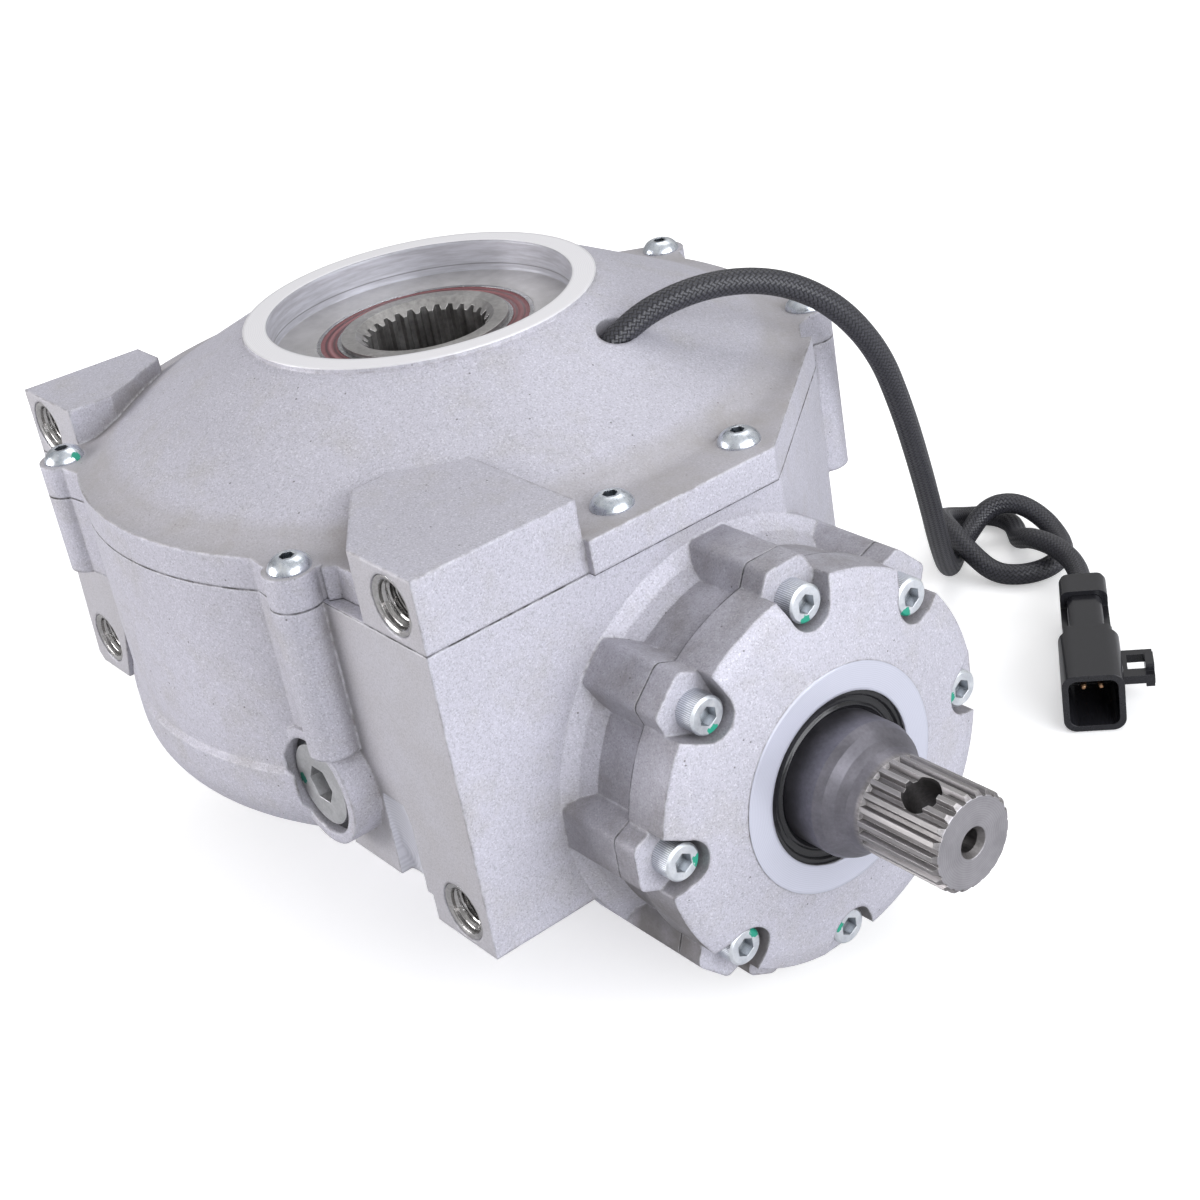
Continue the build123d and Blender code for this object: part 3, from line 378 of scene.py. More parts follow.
def recess_marks(tree):
    """Mask of the machined recess round the upper output, and the colours of its floor and wall."""
    height = place(tree, "Z")
    away = radius_about(tree, "Z")
    inside = below(tree, away, RECESS_RADIUS + 0.00015)
    mask = product(tree, inside, above(tree, height, RECESS_FLOOR - 0.0002))
    drawn = noise(tree, 0.0009, 3, 0.6, (0.10, 0.10, 1))
    wall = ramp(tree, drawn, [(0.35, (0.42, 0.415, 0.45)), (0.65, (0.56, 0.56, 0.61))])
    step = band(tree, height, RECESS_FLOOR + 0.0017, 0.00016)
    wall = blend(tree, product(tree, step, 0.75), wall, (0.20, 0.195, 0.20))
    floor = ramp(tree, noise(tree, 0.004, 4), [(0.35, (0.40, 0.39, 0.395)), (0.65, (0.48, 0.47, 0.475))])
    floor = times(tree, floor, ramp(tree, turning_lines(tree, "Z", 0.0005), [(0.0, 0.96), (1.0, 1.0)]))
    return mask, blend(tree, above(tree, away, RECESS_RADIUS - 0.0002), floor, wall)


def cast_color(tree):
    """Grey of the casting, with clouds, faint brown stains, grain, dark specks, painted glints and pits, and
    what these follow.
    """
    cloud = noise(tree, 0.05, 2)
    patch = noise(tree, 0.013, 5, 0.65)
    grain = noise(tree, 0.00042, 2, 0.7)
    chance = cells(tree, 0.00030)[0]
    pit_chance, pit_away = cells(tree, 0.0024)
    color = ramp(tree, cloud, [(0.3, (0.500, 0.491, 0.549)), (0.7, (0.562, 0.553, 0.624))])
    color = blend(tree, ramp(tree, patch, [(0.50, 0.0), (0.75, 0.55)]), color, (0.455, 0.438, 0.435))
    color = times(tree, color, ramp(tree, grain, [(0.3, 0.78), (0.5, 0.97), (0.7, 1.02)]))
    color = times(tree, color, ramp(tree, chance, [(0.0, 0.80), (0.25, 0.96), (0.8, 1.0), (1.0, 1.0)]))
    # Painted glints: sparse bright specks put into the colour as highlights on the grain.
    painted_glint = calc(tree, "GREATER_THAN", chance, 0.92)
    color = blend(tree, product(tree, painted_glint, 0.20), color, (0.88, 0.88, 0.93))
    pit = product(tree, calc(tree, "LESS_THAN", pit_chance, 0.16), calc(tree, "LESS_THAN", pit_away, 0.10))
    color = blend(tree, product(tree, pit, 0.7), color, (0.10, 0.092, 0.088))
    return color, grain, patch, chance


def nose_film_and_shade(tree, patch):
    """Brown-grey film, partly painted shade, on the sides of the nose, which the blasting of its face did not
    reach; the shade grows towards the bottom.
    """
    side = invert(tree, limits(tree, facing(tree, "X"), 0.25, 0.6))
    near = invert(tree, limits(tree, radius_about(tree, "X"), NOSE_REACH, NOSE_REACH + 0.006))
    mask = product(tree, side, near, limits(tree, place(tree, "X"), 0.094, 0.100))
    # Painted shade: darker towards the bottom of the nose.
    low = invert(tree, limits(tree, place(tree, "Z"), 0.02, 0.075))
    amount = calc(tree, "ADD", ramp(tree, patch, [(0.3, 0.15), (0.7, 0.60)]), product(tree, low, 0.62))
    return product(tree, mask, calc(tree, "MINIMUM", amount, 0.95))


def rim_film(tree, patch):
    """Warm grey film on the flange of the output cover and on the foot of its dome."""
    flat = above(tree, facing(tree, "Z"), 0.85, 0.05)
    mask = product(tree, flat, band(tree, place(tree, "Z"), FLANGE_TOP + 0.0008, 0.0024))
    return product(tree, mask, ramp(tree, patch, [(0.3, 0.35), (0.7, 0.75)]))


def soiled(tree, color, edge, patch):
    """The casting's colour with its films, painted shade and dirt in its corners, stained edges, and edges
    bared by wear that also carry painted highlights.
    """
    # The nose's brown-grey film, with its painted shade.
    color = blend(tree, nose_film_and_shade(tree, patch), color, (0.170, 0.160, 0.159))
    color = blend(tree, rim_film(tree, patch), color, (0.375, 0.355, 0.352))
    # Painted shade in the corners, patchy so that it also reads as dirt there.
    shade_and_grime = product(tree, painted_corner_shade(tree, 0.010), ramp(tree, patch, [(0.3, 0.25), (0.7, 0.65)]))
    color = blend(tree, shade_and_grime, color, CORNER_SHADE_AND_GRIME)
    stained = ramp(tree, noise(tree, 0.009, 4, 0.7), [(0.46, 0.0), (0.60, 0.55)])
    color = blend(tree, product(tree, edge, stained), color, STAIN)
    # Edges bared by wear, lightened further as painted highlights.
    wear_and_highlight = ramp(tree, noise(tree, 0.0022, 3), [(0.40, 0.0), (0.62, 0.70)])
    return blend(tree, product(tree, edge, wear_and_highlight), color, WORN_EDGE_HIGHLIGHT)


def cast_relief(tree, soft, grain, chance, smooth):
    """Normal of the blasted skin, with half the grain where it is machined smooth."""
    relief = invert(tree, product(tree, smooth, 0.5))
    normal = bump(tree, noise(tree, 0.0035, 2), 0.18, 0.0002, soft)
    normal = bump(tree, grain, product(tree, relief, 0.55), 0.00016, normal)
    return bump(tree, chance, product(tree, relief, 0.34), 0.00010, normal)


def joint_lines(tree, color, seams):
    """Dark broken lines where two castings meet, each seam an axis and a place along it."""
    for axis, where in seams:
        beside = calc(tree, "LESS_THAN", calc(tree, "ABSOLUTE", facing(tree, axis)), 0.7)
        line = product(tree, beside, band(tree, place(tree, axis), where, 0.00022))
        broken = ramp(tree, noise(tree, 0.006, 4, 0.7), [(0.40, 0.35), (0.58, 0.95)])
        color = blend(tree, product(tree, line, broken), color, JOINT_LINE)
    return color


def cast_material(name, turned, turned_axis, tone, marks=None, seams=()):
    """Cast aluminium; turned masks its lathe-cut ring, which has this tone; marks adds one machined place."""
    mat, tree, shader = new_material(name)
    soft, edge = rounded_edges(tree, 0.0011)
    color, grain, patch, chance = cast_color(tree)
    smooth = mounting_face(tree)
    milled = ramp(tree, patch, [(0.3, (0.53, 0.52, 0.56)), (0.7, (0.49, 0.475, 0.497))])
    milled = times(tree, milled, ramp(tree, grain, [(0.3, 0.80), (0.6, 1.02)]))
    color = soiled(tree, blend(tree, smooth, color, milled), edge, patch)
    rough = ramp(tree, patch, [(0.3, 0.60), (0.7, 0.70)])
    rough = grey(tree, smooth, rough, 0.52)
    rough = grey(tree, product(tree, edge, 0.6), rough, 0.34)
    normal = cast_relief(tree, soft, grain, chance, smooth)
    ring = turned(tree)
    lines = turning_lines(tree, turned_axis, 0.00042)
    bright = ramp(tree, lines, [(0.0, scaled(tone, 0.94)), (1.0, scaled(tone, 1.03))])
    color = blend(tree, ring, color, bright)
    rough = grey(tree, ring, rough, 0.30)
    normal = blend(tree, ring, normal, bump(tree, lines, 0.10, 0.00004, soft))
    if marks is not None:
        mask, shade = marks(tree)
        color = blend(tree, mask, color, shade)
        rough = grey(tree, mask, rough, 0.38)
        normal = blend(tree, mask, normal, soft)
    dress(tree, shader, joint_lines(tree, color, seams), rough, normal, 0.40)
    return mat


# Steel, zinc, rubber and the rest

def steel_material(name, color, roughness, size=0.0012, edge_highlight=None):
    """Machined steel with fine variation and painted highlights on its edges."""
    mat, tree, shader = new_material(name)
    soft, edge = rounded_edges(tree, 0.0002)
    fine = noise(tree, size, 4, 0.6)
    cloud = noise(tree, size * 6, 3)
    tone = ramp(tree, fine, [(0.3, scaled(color, 0.78)), (0.7, scaled(color, 1.18))])
    tone = times(tree, tone, ramp(tree, cloud, [(0.3, 0.88), (0.7, 1.0)]))
    # Painted highlights: the edges are lightened in the colour.
    tone = blend(tree, product(tree, edge, 0.7), tone, edge_highlight or scaled(color, 1.7, 0.08))
    rough = ramp(tree, cloud, [(0.3, roughness * 0.8), (0.7, roughness * 1.25)])
    dress(tree, shader, tone, rough, bump(tree, fine, 0.15, 0.00005, soft), 1.0)
    return mat


def shaft_material(name):
    """Dark turned collar, brighter splines with drawn streaks, and a faced end with rings."""
    mat, tree, shader = new_material(name)
    soft, edge = rounded_edges(tree, 0.00022)
    x = place(tree, "X")
    away = radius_about(tree, "X")
    fine = noise(tree, 0.0008, 4, 0.65)
    streak = noise(tree, 0.0006, 3, 0.6, (0.08, 1, 1))
    cloud = noise(tree, 0.006, 3)
    collar = times(tree, ramp(tree, cloud, [(0.3, (0.175, 0.170, 0.192)), (0.7, (0.245, 0.237, 0.268))]),
                   ramp(tree, fine, [(0.3, 0.88), (0.7, 1.08)]))
    spline = times(tree, ramp(tree, streak, [(0.3, (0.20, 0.190, 0.190)), (0.7, (0.33, 0.313, 0.318))]),
                   ramp(tree, fine, [(0.3, 0.85), (0.7, 1.1)]))
    rings = turning_lines(tree, "X", 0.0005)
    faced = ramp(tree, rings, [(0.1, (0.38, 0.368, 0.39)), (0.9, (0.43, 0.417, 0.44))])
    faced = times(tree, faced, ramp(tree, cloud, [(0.3, 0.78), (0.7, 1.0)]))
    color = blend(tree, above(tree, x, SPLINE_START - 0.0008, 0.0006), collar, spline)
    color = blend(tree, above(tree, x, SHAFT_END - 0.00012, 0.00004), color, faced)
    crest = product(tree, limits(tree, away, SPLINE_TIP - 0.00045, SPLINE_TIP - 0.00005),
                    above(tree, x, SPLINE_START, 0.0004))
    color = blend(tree, product(tree, crest, 0.30), color, (0.46, 0.45, 0.44))
    # Painted shade: the roots between the splines are darkened.
    root = invert(tree, limits(tree, away, SPLINE_ROOT, SPLINE_ROOT + 0.0004))
    within = calc(tree, "SUBTRACT", above(tree, x, SPLINE_START + 0.0005), above(tree, x, SHAFT_END - 0.0002))
    color = blend(tree, product(tree, root, within, 0.45), color, (0.10, 0.097, 0.093))
    # Painted highlights on the shaft's edges.
    color = blend(tree, product(tree, edge, 0.55), color, (0.60, 0.59, 0.58))
    rough = blend(tree, above(tree, x, SPLINE_START - 0.0008), ramp(tree, cloud, [(0.3, 0.44), (0.7, 0.52)]),
                  ramp(tree, fine, [(0.3, 0.42), (0.7, 0.54)]))
    lathe = wave(tree, calc(tree, "MULTIPLY", x, 2 * math.pi / 0.00035))
    normal = bump(tree, fine, 0.14, 0.00005, bump(tree, lathe, 0.06, 0.00003, soft))
    dress(tree, shader, color, rough, normal, 1.0)
    return mat


def nearest_nose_screw(tree):
    """Coordinates across the head of the nearest of the screws round the nose."""
    y, z = split(tree)[1:]
    up = calc(tree, "SUBTRACT", z, AXIS_HEIGHT)
    away = hypotenuse(tree, y, up)
    half = math.pi / NOSE_SCREWS
    turn = calc(tree, "WRAP", calc(tree, "ARCTAN2", up, y), half, -half)
    u = calc(tree, "SUBTRACT", product(tree, away, calc(tree, "COSINE", turn)), NOSE_SCREW_CIRCLE)
    return u, product(tree, away, calc(tree, "SINE", turn))


def knurls(tree):
    """Mask of the side of the nearest cap head, and the ridges round it."""
    u, v = nearest_nose_screw(tree)
    side = product(tree, above(tree, hypotenuse(tree, u, v), CAP_SIDE, 0.00004),
                   below(tree, place(tree, "X"), CAP_FACE - 0.0005, 0.00005))
    return side, wave(tree, calc(tree, "MULTIPLY", calc(tree, "ARCTAN2", v, u), CAP_KNURLS))


def zinc_material(name, dabs, knurled):
    """Bright zinc plating with a blue-green tint, dabs of paint and, on the cap screws, a knurled side."""
    mat, tree, shader = new_material(name)
    soft, edge = rounded_edges(tree, 0.00025)
    fine = noise(tree, 0.0005, 3, 0.65)
    cloud = noise(tree, 0.0021, 3)
    color = ramp(tree, cloud, [(0.3, (0.56, 0.61, 0.68)), (0.55, (0.72, 0.76, 0.82)),
                               (0.75, (0.78, 0.80, 0.81))])
    color = times(tree, color, ramp(tree, fine, [(0.3, 0.82), (0.6, 1.0)]))
    if knurled:
        color = blend(tree, 0.45, color, (0.93, 0.95, 0.97))
    # Painted highlights on the edges of the heads.
    color = blend(tree, product(tree, edge, 0.5), color, (0.90, 0.93, 0.95))
    # Painted shade in the sockets and corners of the heads.
    color = blend(tree, product(tree, painted_corner_shade(tree, 0.0022), 0.85), color, (0.07, 0.08, 0.09))
    normal = bump(tree, fine, 0.22, 0.00006, soft)
    if knurled:
        side, ridge = knurls(tree)
        # Painted shade down in the grooves between the knurls.
        groove = product(tree, side, invert(tree, ridge))
        color = blend(tree, product(tree, groove, 0.55), color, (0.16, 0.18, 0.19))
        normal = bump(tree, product(tree, ridge, side), 0.5, 0.0002, normal)
    painted = paint_dabs(tree, dabs, 0.0013 if knurled else 0.0012)
    low, high = (0.34, 0.48) if knurled else (0.22, 0.36)
    rough = grey(tree, painted, ramp(tree, cloud, [(0.3, low), (0.7, high)]), 0.5)
    dress(tree, shader, blend(tree, painted, color, PAINT), rough, normal, invert(tree, painted))
    return mat


def plug_material(name, dabs):
    """Machined metal of the plugs, with a dab of paint on the fill plug."""
    mat, tree, shader = new_material(name)
    soft, edge = rounded_edges(tree, 0.0003)
    fine = noise(tree, 0.0006, 3, 0.65)
    cloud = noise(tree, 0.004, 4, 0.6)
    color = ramp(tree, cloud, [(0.3, (0.42, 0.425, 0.43)), (0.7, (0.54, 0.54, 0.555))])
    color = times(tree, color, ramp(tree, fine, [(0.3, 0.82), (0.6, 1.0)]))
    # Painted highlights on the plugs' edges.
    color = blend(tree, product(tree, edge, 0.7), color, (0.80, 0.80, 0.82))
    color = blend(tree, paint_dabs(tree, dabs, 0.0013), color, PAINT)
    rough = ramp(tree, cloud, [(0.3, 0.36), (0.7, 0.5)])
    dress(tree, shader, color, rough, bump(tree, fine, 0.25, 0.00008, soft), 0.75)
    return mat


def rubber_material(name, color, roughness, size=0.0009, relief=0.2, rings=None):
    """Rubber or plastic with fine grain, and with moulded rings where an axis is named."""
    mat, tree, shader = new_material(name)
    soft, edge = rounded_edges(tree, 0.0003)
    fine = noise(tree, size, 4, 0.6)
    tone = ramp(tree, fine, [(0.3, scaled(color, 0.7)), (0.7, scaled(color, 1.35))])
    # Painted highlights on the edges.
    tone = blend(tree, product(tree, edge, 0.5), tone, scaled(color, 3, 0.01))
    normal = bump(tree, fine, relief, 0.00006, soft)
    if rings:
        lines = turning_lines(tree, rings, 0.0009)
        # Painted shade in the hollows between the rings.
        tone = times(tree, tone, ramp(tree, lines, [(0.0, 0.55), (0.6, 1.0)]))
        normal = bump(tree, lines, 0.35, 0.00012, normal)
    rough = ramp(tree, fine, [(0.3, roughness * 0.85), (0.7, roughness * 1.2)])
    dress(tree, shader, tone, rough, normal)
    return mat


def seal_material(name):
    """Rose-brown bearing seal with two moulded grooves darkened as painted shade, and a painted highlight on
    the ridge between them.
    """
    mat, tree, shader = new_material(name)
    away = radius_about(tree, "Z")
    tone = ramp(tree, noise(tree, 0.0007, 3), [(0.3, (0.15, 0.040, 0.047)), (0.7, (0.215, 0.066, 0.073))])
    # Painted shade in the two moulded grooves.
    for middle in SEAL_GROOVES:
        tone = blend(tree, product(tree, band(tree, away, middle, 0.00025), 0.7), tone, (0.06, 0.03, 0.032))
    # Painted highlight: a paler band on the ridge between the grooves.
    tone = blend(tree, product(tree, band(tree, away, SEAL_RIDGE, 0.0003), 0.4), tone, (0.40, 0.18, 0.19))
    spacing = SEAL_GROOVES[1] - SEAL_GROOVES[0]
    relief = calc(tree, "SINE", calc(tree, "MULTIPLY", away, 2 * math.pi / spacing))
    dress(tree, shader, tone, 0.42, bump(tree, relief, 0.5, 0.0003))
    return mat


def braid_material(name):
    """Black braid: threads of two crossed sets pass over and under each other."""
    mat, tree, shader = new_material(name)
    along, around = split(tree, add(tree, "ShaderNodeTexCoord").outputs["UV"])[:2]
    ways = [calc(tree, operation, along, around) for operation in ("ADD", "SUBTRACT")]
    waves = [calc(tree, "SINE", calc(tree, "MULTIPLY", way, math.pi)) for way in ways]
    heights = [calc(tree, "ABSOLUTE", height) for height in waves]
    crossing = calc(tree, "ADD", *[calc(tree, "FLOOR", way) for way in ways])
    positive = calc(tree, "ADD", crossing, 4000.0)
    over = calc(tree, "GREATER_THAN", calc(tree, "MODULO", positive, 2.0), 0.5)
    weave = mix_numbers(tree, over, *heights)
    fibre = noise(tree, 0.0003, 2)
    # Painted sheen on the tops of the threads, and painted shade, near black, in the gaps between them.
    tone = times(tree, ramp(tree, weave, [(0.25, (0.004, 0.004, 0.006)), (0.95, (0.052, 0.052, 0.064))]),
                 ramp(tree, fibre, [(0.3, 0.6), (0.7, 1.0)]))
    dress(tree, shader, tone, 0.40, bump(tree, fibre, 0.2, 0.00005, bump(tree, weave, 0.55, 0.00022)))
    return mat


def dab_places(screws, circle, reach):
    """Across a circle of screws, where the paint sits on each of these heads."""
    places = []
    for screw, way in screws:
        screw, way = math.radians(screw), math.radians(way)
        places.append((circle * math.cos(screw) + reach * math.cos(way),
                       circle * math.sin(screw) + reach * math.sin(way)))
    return places


# Painted screws: the angle of each on its circle, and the direction from its middle to the paint, in degrees

NOSE_PAINT = ((90, -103), (45, -126), (0, -170), (135, -79), (180, -17), (-135, 40), (-90, 149))
COVER_PAINT = ((103.2, -154), (60, -152), (-54.7, 92), (-121.9, 19))
NOSE_PAINT_REACH = 0.0036
COVER_PAINT_REACH = 0.0042

nose_dabs = [(CAP_FACE - 0.0002, across, AXIS_HEIGHT + up)
             for across, up in dab_places(NOSE_PAINT, NOSE_SCREW_CIRCLE, NOSE_PAINT_REACH)]
cover_dabs = [(x, y, FLANGE_TOP + 0.0008)
              for x, y in dab_places(COVER_PAINT, COVER_SCREW_CIRCLE, COVER_PAINT_REACH)]
plug_dabs = [(0.0390, -PLUG_FACE, 0.0600)]

cast_cover = cast_material("cast_cover", top_ring, "Z", (0.96, 0.95, 0.99), recess_marks, [("Z", PARTING)])
cast_nose = cast_material("cast_nose_cover", boss_ring, "X", (0.59, 0.60, 0.69), seams=[("X", NOSE_JOINT)])
cast_case = cast_material("cast_case", lower_ring, "Z", (0.77, 0.77, 0.80), groove_marks,
                          [("Z", PARTING), ("X", NOSE_JOINT)])
gear_steel = steel_material("gear_steel", (0.27, 0.262, 0.265), 0.34)
hub_steel = steel_material("hub_steel", (0.40, 0.39, 0.385), 0.40, edge_highlight=(0.80, 0.79, 0.77))
shaft_steel = shaft_material("shaft_steel")
bearing_steel = steel_material("bearing_steel", (0.42, 0.42, 0.43), 0.25)
zinc_cap = zinc_material("zinc_cap_screws", nose_dabs, True)
zinc_button = zinc_material("zinc_button_screws", cover_dabs, False)
insert_steel = steel_material("insert_steel", (0.47, 0.46, 0.455), 0.18, size=0.0008)
plug_metal = plug_material("plug_metal", plug_dabs)
black_rubber = rubber_material("black_rubber", BLACK_RUBBER, 0.34)
lip_rubber = rubber_material("lip_rubber", BLACK_RUBBER, 0.22, rings="X")
black_plastic = rubber_material("black_plastic", (0.015, 0.015, 0.018), 0.20, size=0.0005, relief=0.05)
rose_seal = seal_material("rose_seal")
copper = steel_material("copper", (0.72, 0.42, 0.24), 0.3)
bronze = steel_material("bronze", (0.60, 0.45, 0.24), 0.4)
braid = braid_material("black_braid")

BY_SLOT = {"cast_aluminium": cast_case, "machined_aluminium": plug_metal, "zinc_steel": zinc_button,
           "insert_steel": insert_steel, "bearing_steel": bearing_steel, "gear_steel": gear_steel,
           "black_rubber": black_rubber, "rose_rubber": rose_seal, "black_braid": braid,
           "black_plastic": black_plastic, "copper": copper, "bronze": bronze}
BY_NODE = {"output_cover": cast_cover, "pinion_cover": cast_nose, "pinion_cover_screws": zinc_cap,
           "pinion_shaft": shaft_steel, "upper_output_hub": hub_steel, "lower_output_hub": hub_steel,
           "input_seal": lip_rubber}


def dress_nodes():
    for part in frame["record"]["subparts"]:
        name = part["node"]
        mesh = nodes[name].data
        mesh.materials.clear()
        mesh.materials.append(BY_NODE.get(name, BY_SLOT[part["material_slot"]]))


dress_nodes()


def make_object(name, bm, material, smooth=True):
    mesh = bpy.data.meshes.new(name)
    bmesh.ops.recalc_face_normals(bm, faces=bm.faces)
    for face in bm.faces:
        face.smooth = smooth
    bm.to_mesh(mesh)
    bm.free()
    obj = bpy.data.objects.new(name, mesh)
    bpy.context.collection.objects.link(obj)
    mesh.materials.append(material)
    return obj


# Inserts with a real thread in place of the plain bores

def thread_radius(depth, share):
    """Radius of the thread at a depth and a share of a turn, with a chamfer at both ends."""
    phase = (depth / THREAD_PITCH - share) % 1.0
    rise = min(1.0, max(0.0, abs(phase - 0.5) * THREAD_SLOPE - THREAD_FLAT))
    radius = THREAD_CREST + (THREAD_VALLEY - THREAD_CREST) * rise
    from_end = min(depth, INSERT_LENGTH - depth)
    return max(radius, THREAD_VALLEY - from_end * CHAMFER_SLOPE)


def insert_ring(bm, x, z, depth, radius_at):
    """Ring of vertices round an insert's axis; radius_at gives the radius at a share of a turn."""
    ring = []
    for side in range(INSERT_SIDES):
        turn = 2 * math.pi * side / INSERT_SIDES
        radius = radius_at(side / INSERT_SIDES)
        point = (x + radius * math.cos(turn), INSERT_START + depth, z + radius * math.sin(turn))
        ring.append(bm.verts.new(point))
    return ring


def add_insert(bm, x, z):
    """One insert: its axis along Y, from the bottom of its counterbore into the casting."""
    rings = []
    for row in range(THREAD_ROWS):
        depth = INSERT_LENGTH * row / (THREAD_ROWS - 1)
        rings.append(insert_ring(bm, x, z, depth, lambda share: thread_radius(depth, share)))
    outside = (*INSERT_COLLAR, (INSERT_RADIUS, -0.00001), (INSERT_RADIUS, INSERT_LENGTH))
    shell = [insert_ring(bm, x, z, depth, lambda share: radius) for radius, depth in outside]
    loops = rings[::-1] + shell
    for lower, upper in zip(loops, loops[1:] + loops[:1]):
        for side in range(INSERT_SIDES):
            following = (side + 1) % INSERT_SIDES
            bm.faces.new((lower[side], lower[following], upper[following], upper[side]))


def make_inserts():
    bm = bmesh.new()
    for x, z in INSERT_PLACES:
        add_insert(bm, x, z)
    inserts = make_object("insert_threads", bm, insert_steel, smooth=False)
    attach(inserts, "housing")
    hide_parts("threaded_inserts")


make_inserts()


# Lead

def lead_points():
    """Control points of the lead's route, as the part has them, brought from millimetres to metres."""
    direction = Vector((0.12, 0.76, 0.64)).normalized()
    hole = Vector((45.8, 3.6, 118.0))
    rise = [hole + direction * 7, hole + direction * 22]
    fall = [(55, 37, 137), (61, 54, 134.5), (65, 69, 124.5), (65, 82, 107.5), (60, 92.5, 87), (53, 103, 66),
            (44.5, 114, 45.5), (35, 125, 27), (26, 135.5, 13), (18, 145, 4.3)]
    knot = [(11.5, 154.5, 3.1), (7.5, 163.5, 3.8), (8, 172.5, 9.8), (14, 178.5, 10.5), (22.5, 180.5, 6.8),
            (31, 178, 3.1), (37.5, 172, 3.1), (40, 163.5, 3.1), (37, 155.5, 3.1), (29.5, 151.3, 3.1),
            (21.5, 150.5, 7.6), (13, 152.5, 11.2), (4, 157, 10.8), (-2, 164.5, 6.8), (-2, 173, 3.1),
            (4, 178.5, 3.1), (12.5, 178, 3.1), (19.5, 172.5, 3.1), (25.5, 166.5, 6.5), (33, 163.5, 10.6),
            (41.5, 163.5, 10.6), (50, 161.5, 9.2), (57.5, 156, 8.3), (64, 149, 8.3)]
    return [p * 0.001 for p in rise + [Vector(p) for p in fall + knot]]


def spline_line(points):
    """Points along the smooth line that the route's control points give."""
    curve = bpy.data.curves.new("lead_line", "CURVE")
    curve.dimensions = "3D"
    curve.resolution_u = 20
    spline = curve.splines.new("NURBS")
    spline.points.add(len(points) - 1)
    for control, point in zip(spline.points, points):
        control.co = (*point, 1)
    spline.order_u = 3
    spline.use_endpoint_u = True
    holder = bpy.data.objects.new("lead_line", curve)
    bpy.context.collection.objects.link(holder)
    bpy.context.view_layer.update()
    line = bpy.data.meshes.new_from_object(holder)
    path = [v.co.copy() for v in line.vertices]
    bpy.data.objects.remove(holder)
    bpy.data.meshes.remove(line)
    return path


def tube_mesh(path, radius, sides):
    """Round tube along the path, with UV counted in threads along and around it."""
    thread = 2 * math.pi * radius / THREADS
    normal = Vector((0, 0, 1))
    bm = bmesh.new()
    uv = bm.loops.layers.uv.new("UVMap")
    rings, lengths, travelled = [], [], 0.0
    for i, point in enumerate(path):
        ahead = path[min(i + 1, len(path) - 1)] - path[max(i - 1, 0)]
        ahead.normalize()
        normal = (normal - ahead * normal.dot(ahead)).normalized()
        across = ahead.cross(normal)
        if i:
            travelled += (point - path[i - 1]).length
        lengths.append(travelled / thread)
        ring = []
        for s in range(sides):
            turn = 2 * math.pi * s / sides
            ring.append(bm.verts.new(point + radius * (normal * math.cos(turn) + across * math.sin(turn))))
        rings.append(ring)
    for i in range(len(rings) - 1):
        for s in range(sides):
            following = (s + 1) % sides
            face = bm.faces.new((rings[i][s], rings[i][following], rings[i + 1][following], rings[i + 1][s]))
            corners = ((i, s), (i, s + 1), (i + 1, s + 1), (i + 1, s))
            for loop, (row, side) in zip(face.loops, corners):
                loop[uv].uv = (lengths[row], THREADS * side / sides)
    bm.faces.new(rings[0][::-1])
    bm.faces.new(rings[-1])
    return bm


def make_lead():
    points = lead_points()
    path = spline_line(points)
    lead = make_object("lead", tube_mesh(path, LEAD_RADIUS, LEAD_SIDES), braid)
    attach(lead, "housing")
    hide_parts("cord_sleeve")


make_lead()


# Floor, light and camera

def make_floor():
    """Pale floor just under the part: white to the camera, greyer to everything else."""
    mesh = bpy.data.meshes.new("floor")
    half = 6.0
    corners = [(-half, -half, 0), (half, -half, 0), (half, half, 0), (-half, half, 0)]
    mesh.from_pydata(corners, [], [(0, 1, 2, 3)])
    floor = bpy.data.objects.new("floor", mesh)
    floor.location = (0, 0, -0.0003)
    bpy.context.collection.objects.link(floor)
    mat, tree, shader = new_material("floor_white")
    shader.inputs["Roughness"].default_value = 0.9
    shader.inputs["Specular IOR Level"].default_value = 0.0
    seen = add(tree, "ShaderNodeLightPath").outputs["Is Camera Ray"]
    tree.links.new(blend(tree, seen, (0.60, 0.60, 0.61), (0.92, 0.92, 0.92)), shader.inputs["Base Color"])
    far = limits(tree, radius_about(tree, "Z"), 0.30, 1.2)
    glow = product(tree, seen, calc(tree, "MULTIPLY_ADD", far, 0.75, 0.35))
    shader.inputs["Emission Color"].default_value = (1, 1, 1, 1)
    tree.links.new(glow, shader.inputs["Emission Strength"])
    mesh.materials.append(mat)


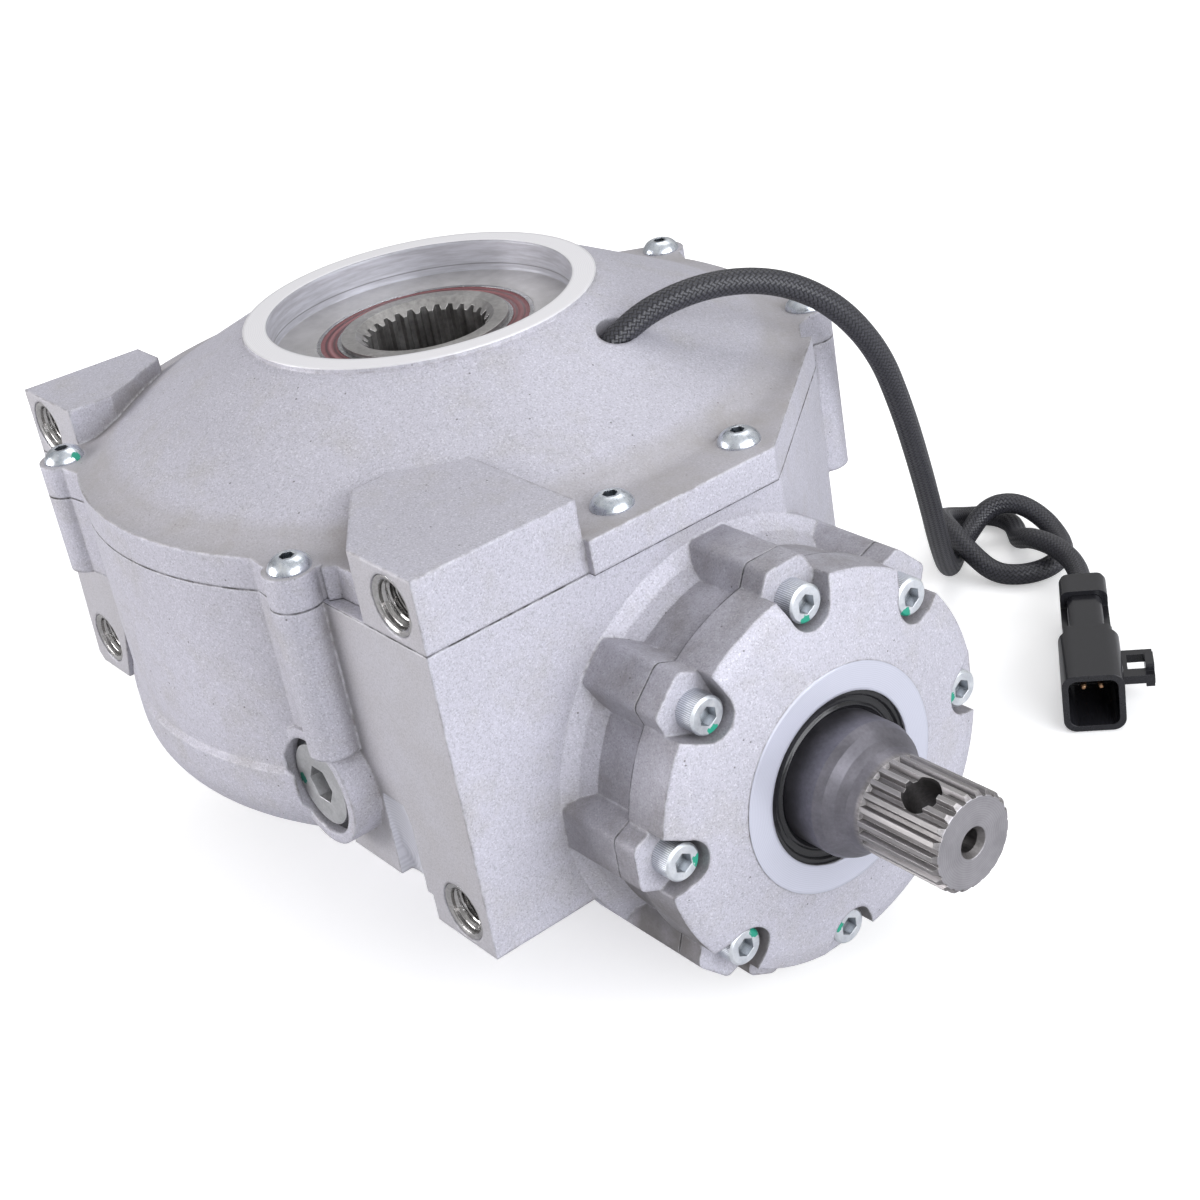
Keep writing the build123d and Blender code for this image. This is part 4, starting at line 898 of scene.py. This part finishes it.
def make_world():
    """White to the camera; to everything else a soft room, brighter above and towards +X and +Y."""
    world = bpy.data.worlds.new("studio")
    world.use_nodes = True
    bpy.context.scene.world = world
    tree = world.node_tree
    back = tree.nodes["Background"]
    ray = add(tree, "ShaderNodeLightPath").outputs
    x, y, z = split(tree, add(tree, "ShaderNodeTexCoord").outputs["Generated"])
    side = calc(tree, "MULTIPLY_ADD", x, 0.16, calc(tree, "MULTIPLY_ADD", y, 0.08, 0.30))
    room = calc(tree, "ADD", side, product(tree, limits(tree, z, 0.0, 0.9), 0.34))
    seen = calc(tree, "MAXIMUM", ray["Is Camera Ray"], ray["Is Transmission Ray"])
    shine = calc(tree, "MULTIPLY_ADD", ray["Is Glossy Ray"], 0.12, room)
    back.inputs["Color"].default_value = (1, 1, 1, 1)
    tree.links.new(mix_numbers(tree, seen, shine, 1.0), back.inputs["Strength"])


def area_light(name, spot, target, size, power, color=(1, 1, 1)):
    data = bpy.data.lights.new(name, "AREA")
    data.shape = "RECTANGLE"
    data.size, data.size_y = size
    data.energy = power
    data.color = color
    lamp = bpy.data.objects.new(name, data)
    lamp.location = spot
    lamp.rotation_mode = "QUATERNION"
    lamp.rotation_quaternion = (Vector(target) - Vector(spot)).to_track_quat("-Z", "Y")
    bpy.context.collection.objects.link(lamp)


def make_lights():
    middle = (0.03, 0.0, 0.06)
    area_light("key", (1.15, 0.10, 0.46), middle, (1.3, 0.9), 16.6, (0.94, 0.96, 1.0))
    area_light("left", (-0.60, -1.0, 0.38), middle, (0.7, 0.5), 9.8, (1.0, 0.99, 1.0))
    area_light("top", (-0.30, 0.55, 1.1), middle, (0.8, 0.6), 2.5)


def make_camera():
    data = bpy.data.cameras.new("camera")
    data.sensor_width = CAMERA_SENSOR
    data.lens = CAMERA_LENS
    camera = bpy.data.objects.new("camera", data)
    bpy.context.collection.objects.link(camera)
    turn = Matrix(CAMERA_AXES).transposed()
    camera.matrix_world = Matrix.Translation(CAMERA_PLACE) @ turn.to_4x4()
    bpy.context.scene.camera = camera


make_floor()
make_world()
make_lights()
make_camera()

bpy.context.scene.view_settings.view_transform = "Standard"
